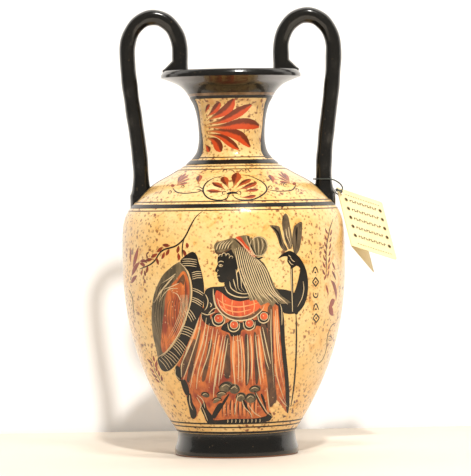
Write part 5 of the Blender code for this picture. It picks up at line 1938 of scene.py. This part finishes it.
class AMPHORA_OT_clay(bpy.types.Operator):
    """Throw the foot, the body, the neck and the mouth"""

    bl_idname = "amphora.clay"
    bl_label = "Thrown Clay"

    def execute(self, context):
        make_foot()
        make_body()
        make_neck()
        make_mouth()
        return {"FINISHED"}


class AMPHORA_OT_handles(bpy.types.Operator):
    """Bend the two coils for the handles"""

    bl_idname = "amphora.handles"
    bl_label = "Handles"

    def execute(self, context):
        make_handles()
        return {"FINISHED"}


class AMPHORA_OT_bands(bpy.types.Operator):
    """Paint the rings and the black fields under the handles"""

    bl_idname = "amphora.bands"
    bl_label = "Bands and Panels"

    def execute(self, context):
        paint_bands()
        paint_panels()
        return {"FINISHED"}


class AMPHORA_OT_flowers(bpy.types.Operator):
    """Paint the palmettes, the vines and the back"""

    bl_idname = "amphora.flowers"
    bl_label = "Flowers and Vines"

    def execute(self, context):
        paint_neck_palmette()
        paint_shoulder()
        paint_vines()
        paint_back()
        return {"FINISHED"}


class AMPHORA_OT_figure(bpy.types.Operator):
    """Paint the standing figure with its shield and staff"""

    bl_idname = "amphora.figure"
    bl_label = "Figure"

    def execute(self, context):
        paint_garment()
        paint_shield()
        paint_bust()
        paint_staff()
        return {"FINISHED"}


class AMPHORA_OT_tag(bpy.types.Operator):
    """Cut, fold and stamp the card"""

    bl_idname = "amphora.tag"
    bl_label = "Folded Tag"

    def execute(self, context):
        make_tag()
        return {"FINISHED"}


class AMPHORA_PT_panel(bpy.types.Panel):
    """Every step of the amphora, with its sizes and colours"""

    bl_idname = "AMPHORA_PT_panel"
    bl_label = "Painted Amphora"
    bl_space_type = "VIEW_3D"
    bl_region_type = "UI"
    bl_category = "Amphora"

    def draw(self, context):
        layout = self.layout
        for held in SETTINGS:
            box = layout.box()
            group = getattr(context.scene, held)
            for name in group.__annotations__:
                box.prop(group, name)
        for step in STEPS:
            layout.operator(step.bl_idname)


SETTINGS = {
    "amphora_vessel": VesselSettings,
    "amphora_paint": PaintSettings,
    "amphora_tag": TagSettings,
    "amphora_stage": StageSettings,
}
STEPS = (
    AMPHORA_OT_stage, AMPHORA_OT_thread, AMPHORA_OT_clay, AMPHORA_OT_handles,
    AMPHORA_OT_bands, AMPHORA_OT_flowers, AMPHORA_OT_figure, AMPHORA_OT_tag,
)


def register():
    for made in (*SETTINGS.values(), *STEPS, AMPHORA_PT_panel):
        bpy.utils.register_class(made)
    for name, group in SETTINGS.items():
        setattr(bpy.types.Scene, name, bpy.props.PointerProperty(type=group))


def unregister():
    for name in SETTINGS:
        delattr(bpy.types.Scene, name)
    for made in reversed((*SETTINGS.values(), *STEPS, AMPHORA_PT_panel)):
        bpy.utils.unregister_class(made)


def main():
    register()
    bpy.ops.amphora.stage()
    bpy.ops.amphora.thread()
    bpy.ops.amphora.clay()
    bpy.ops.amphora.handles()
    bpy.ops.amphora.bands()
    bpy.ops.amphora.flowers()
    bpy.ops.amphora.figure()
    bpy.ops.amphora.tag()


if __name__ == "__main__":
    main()
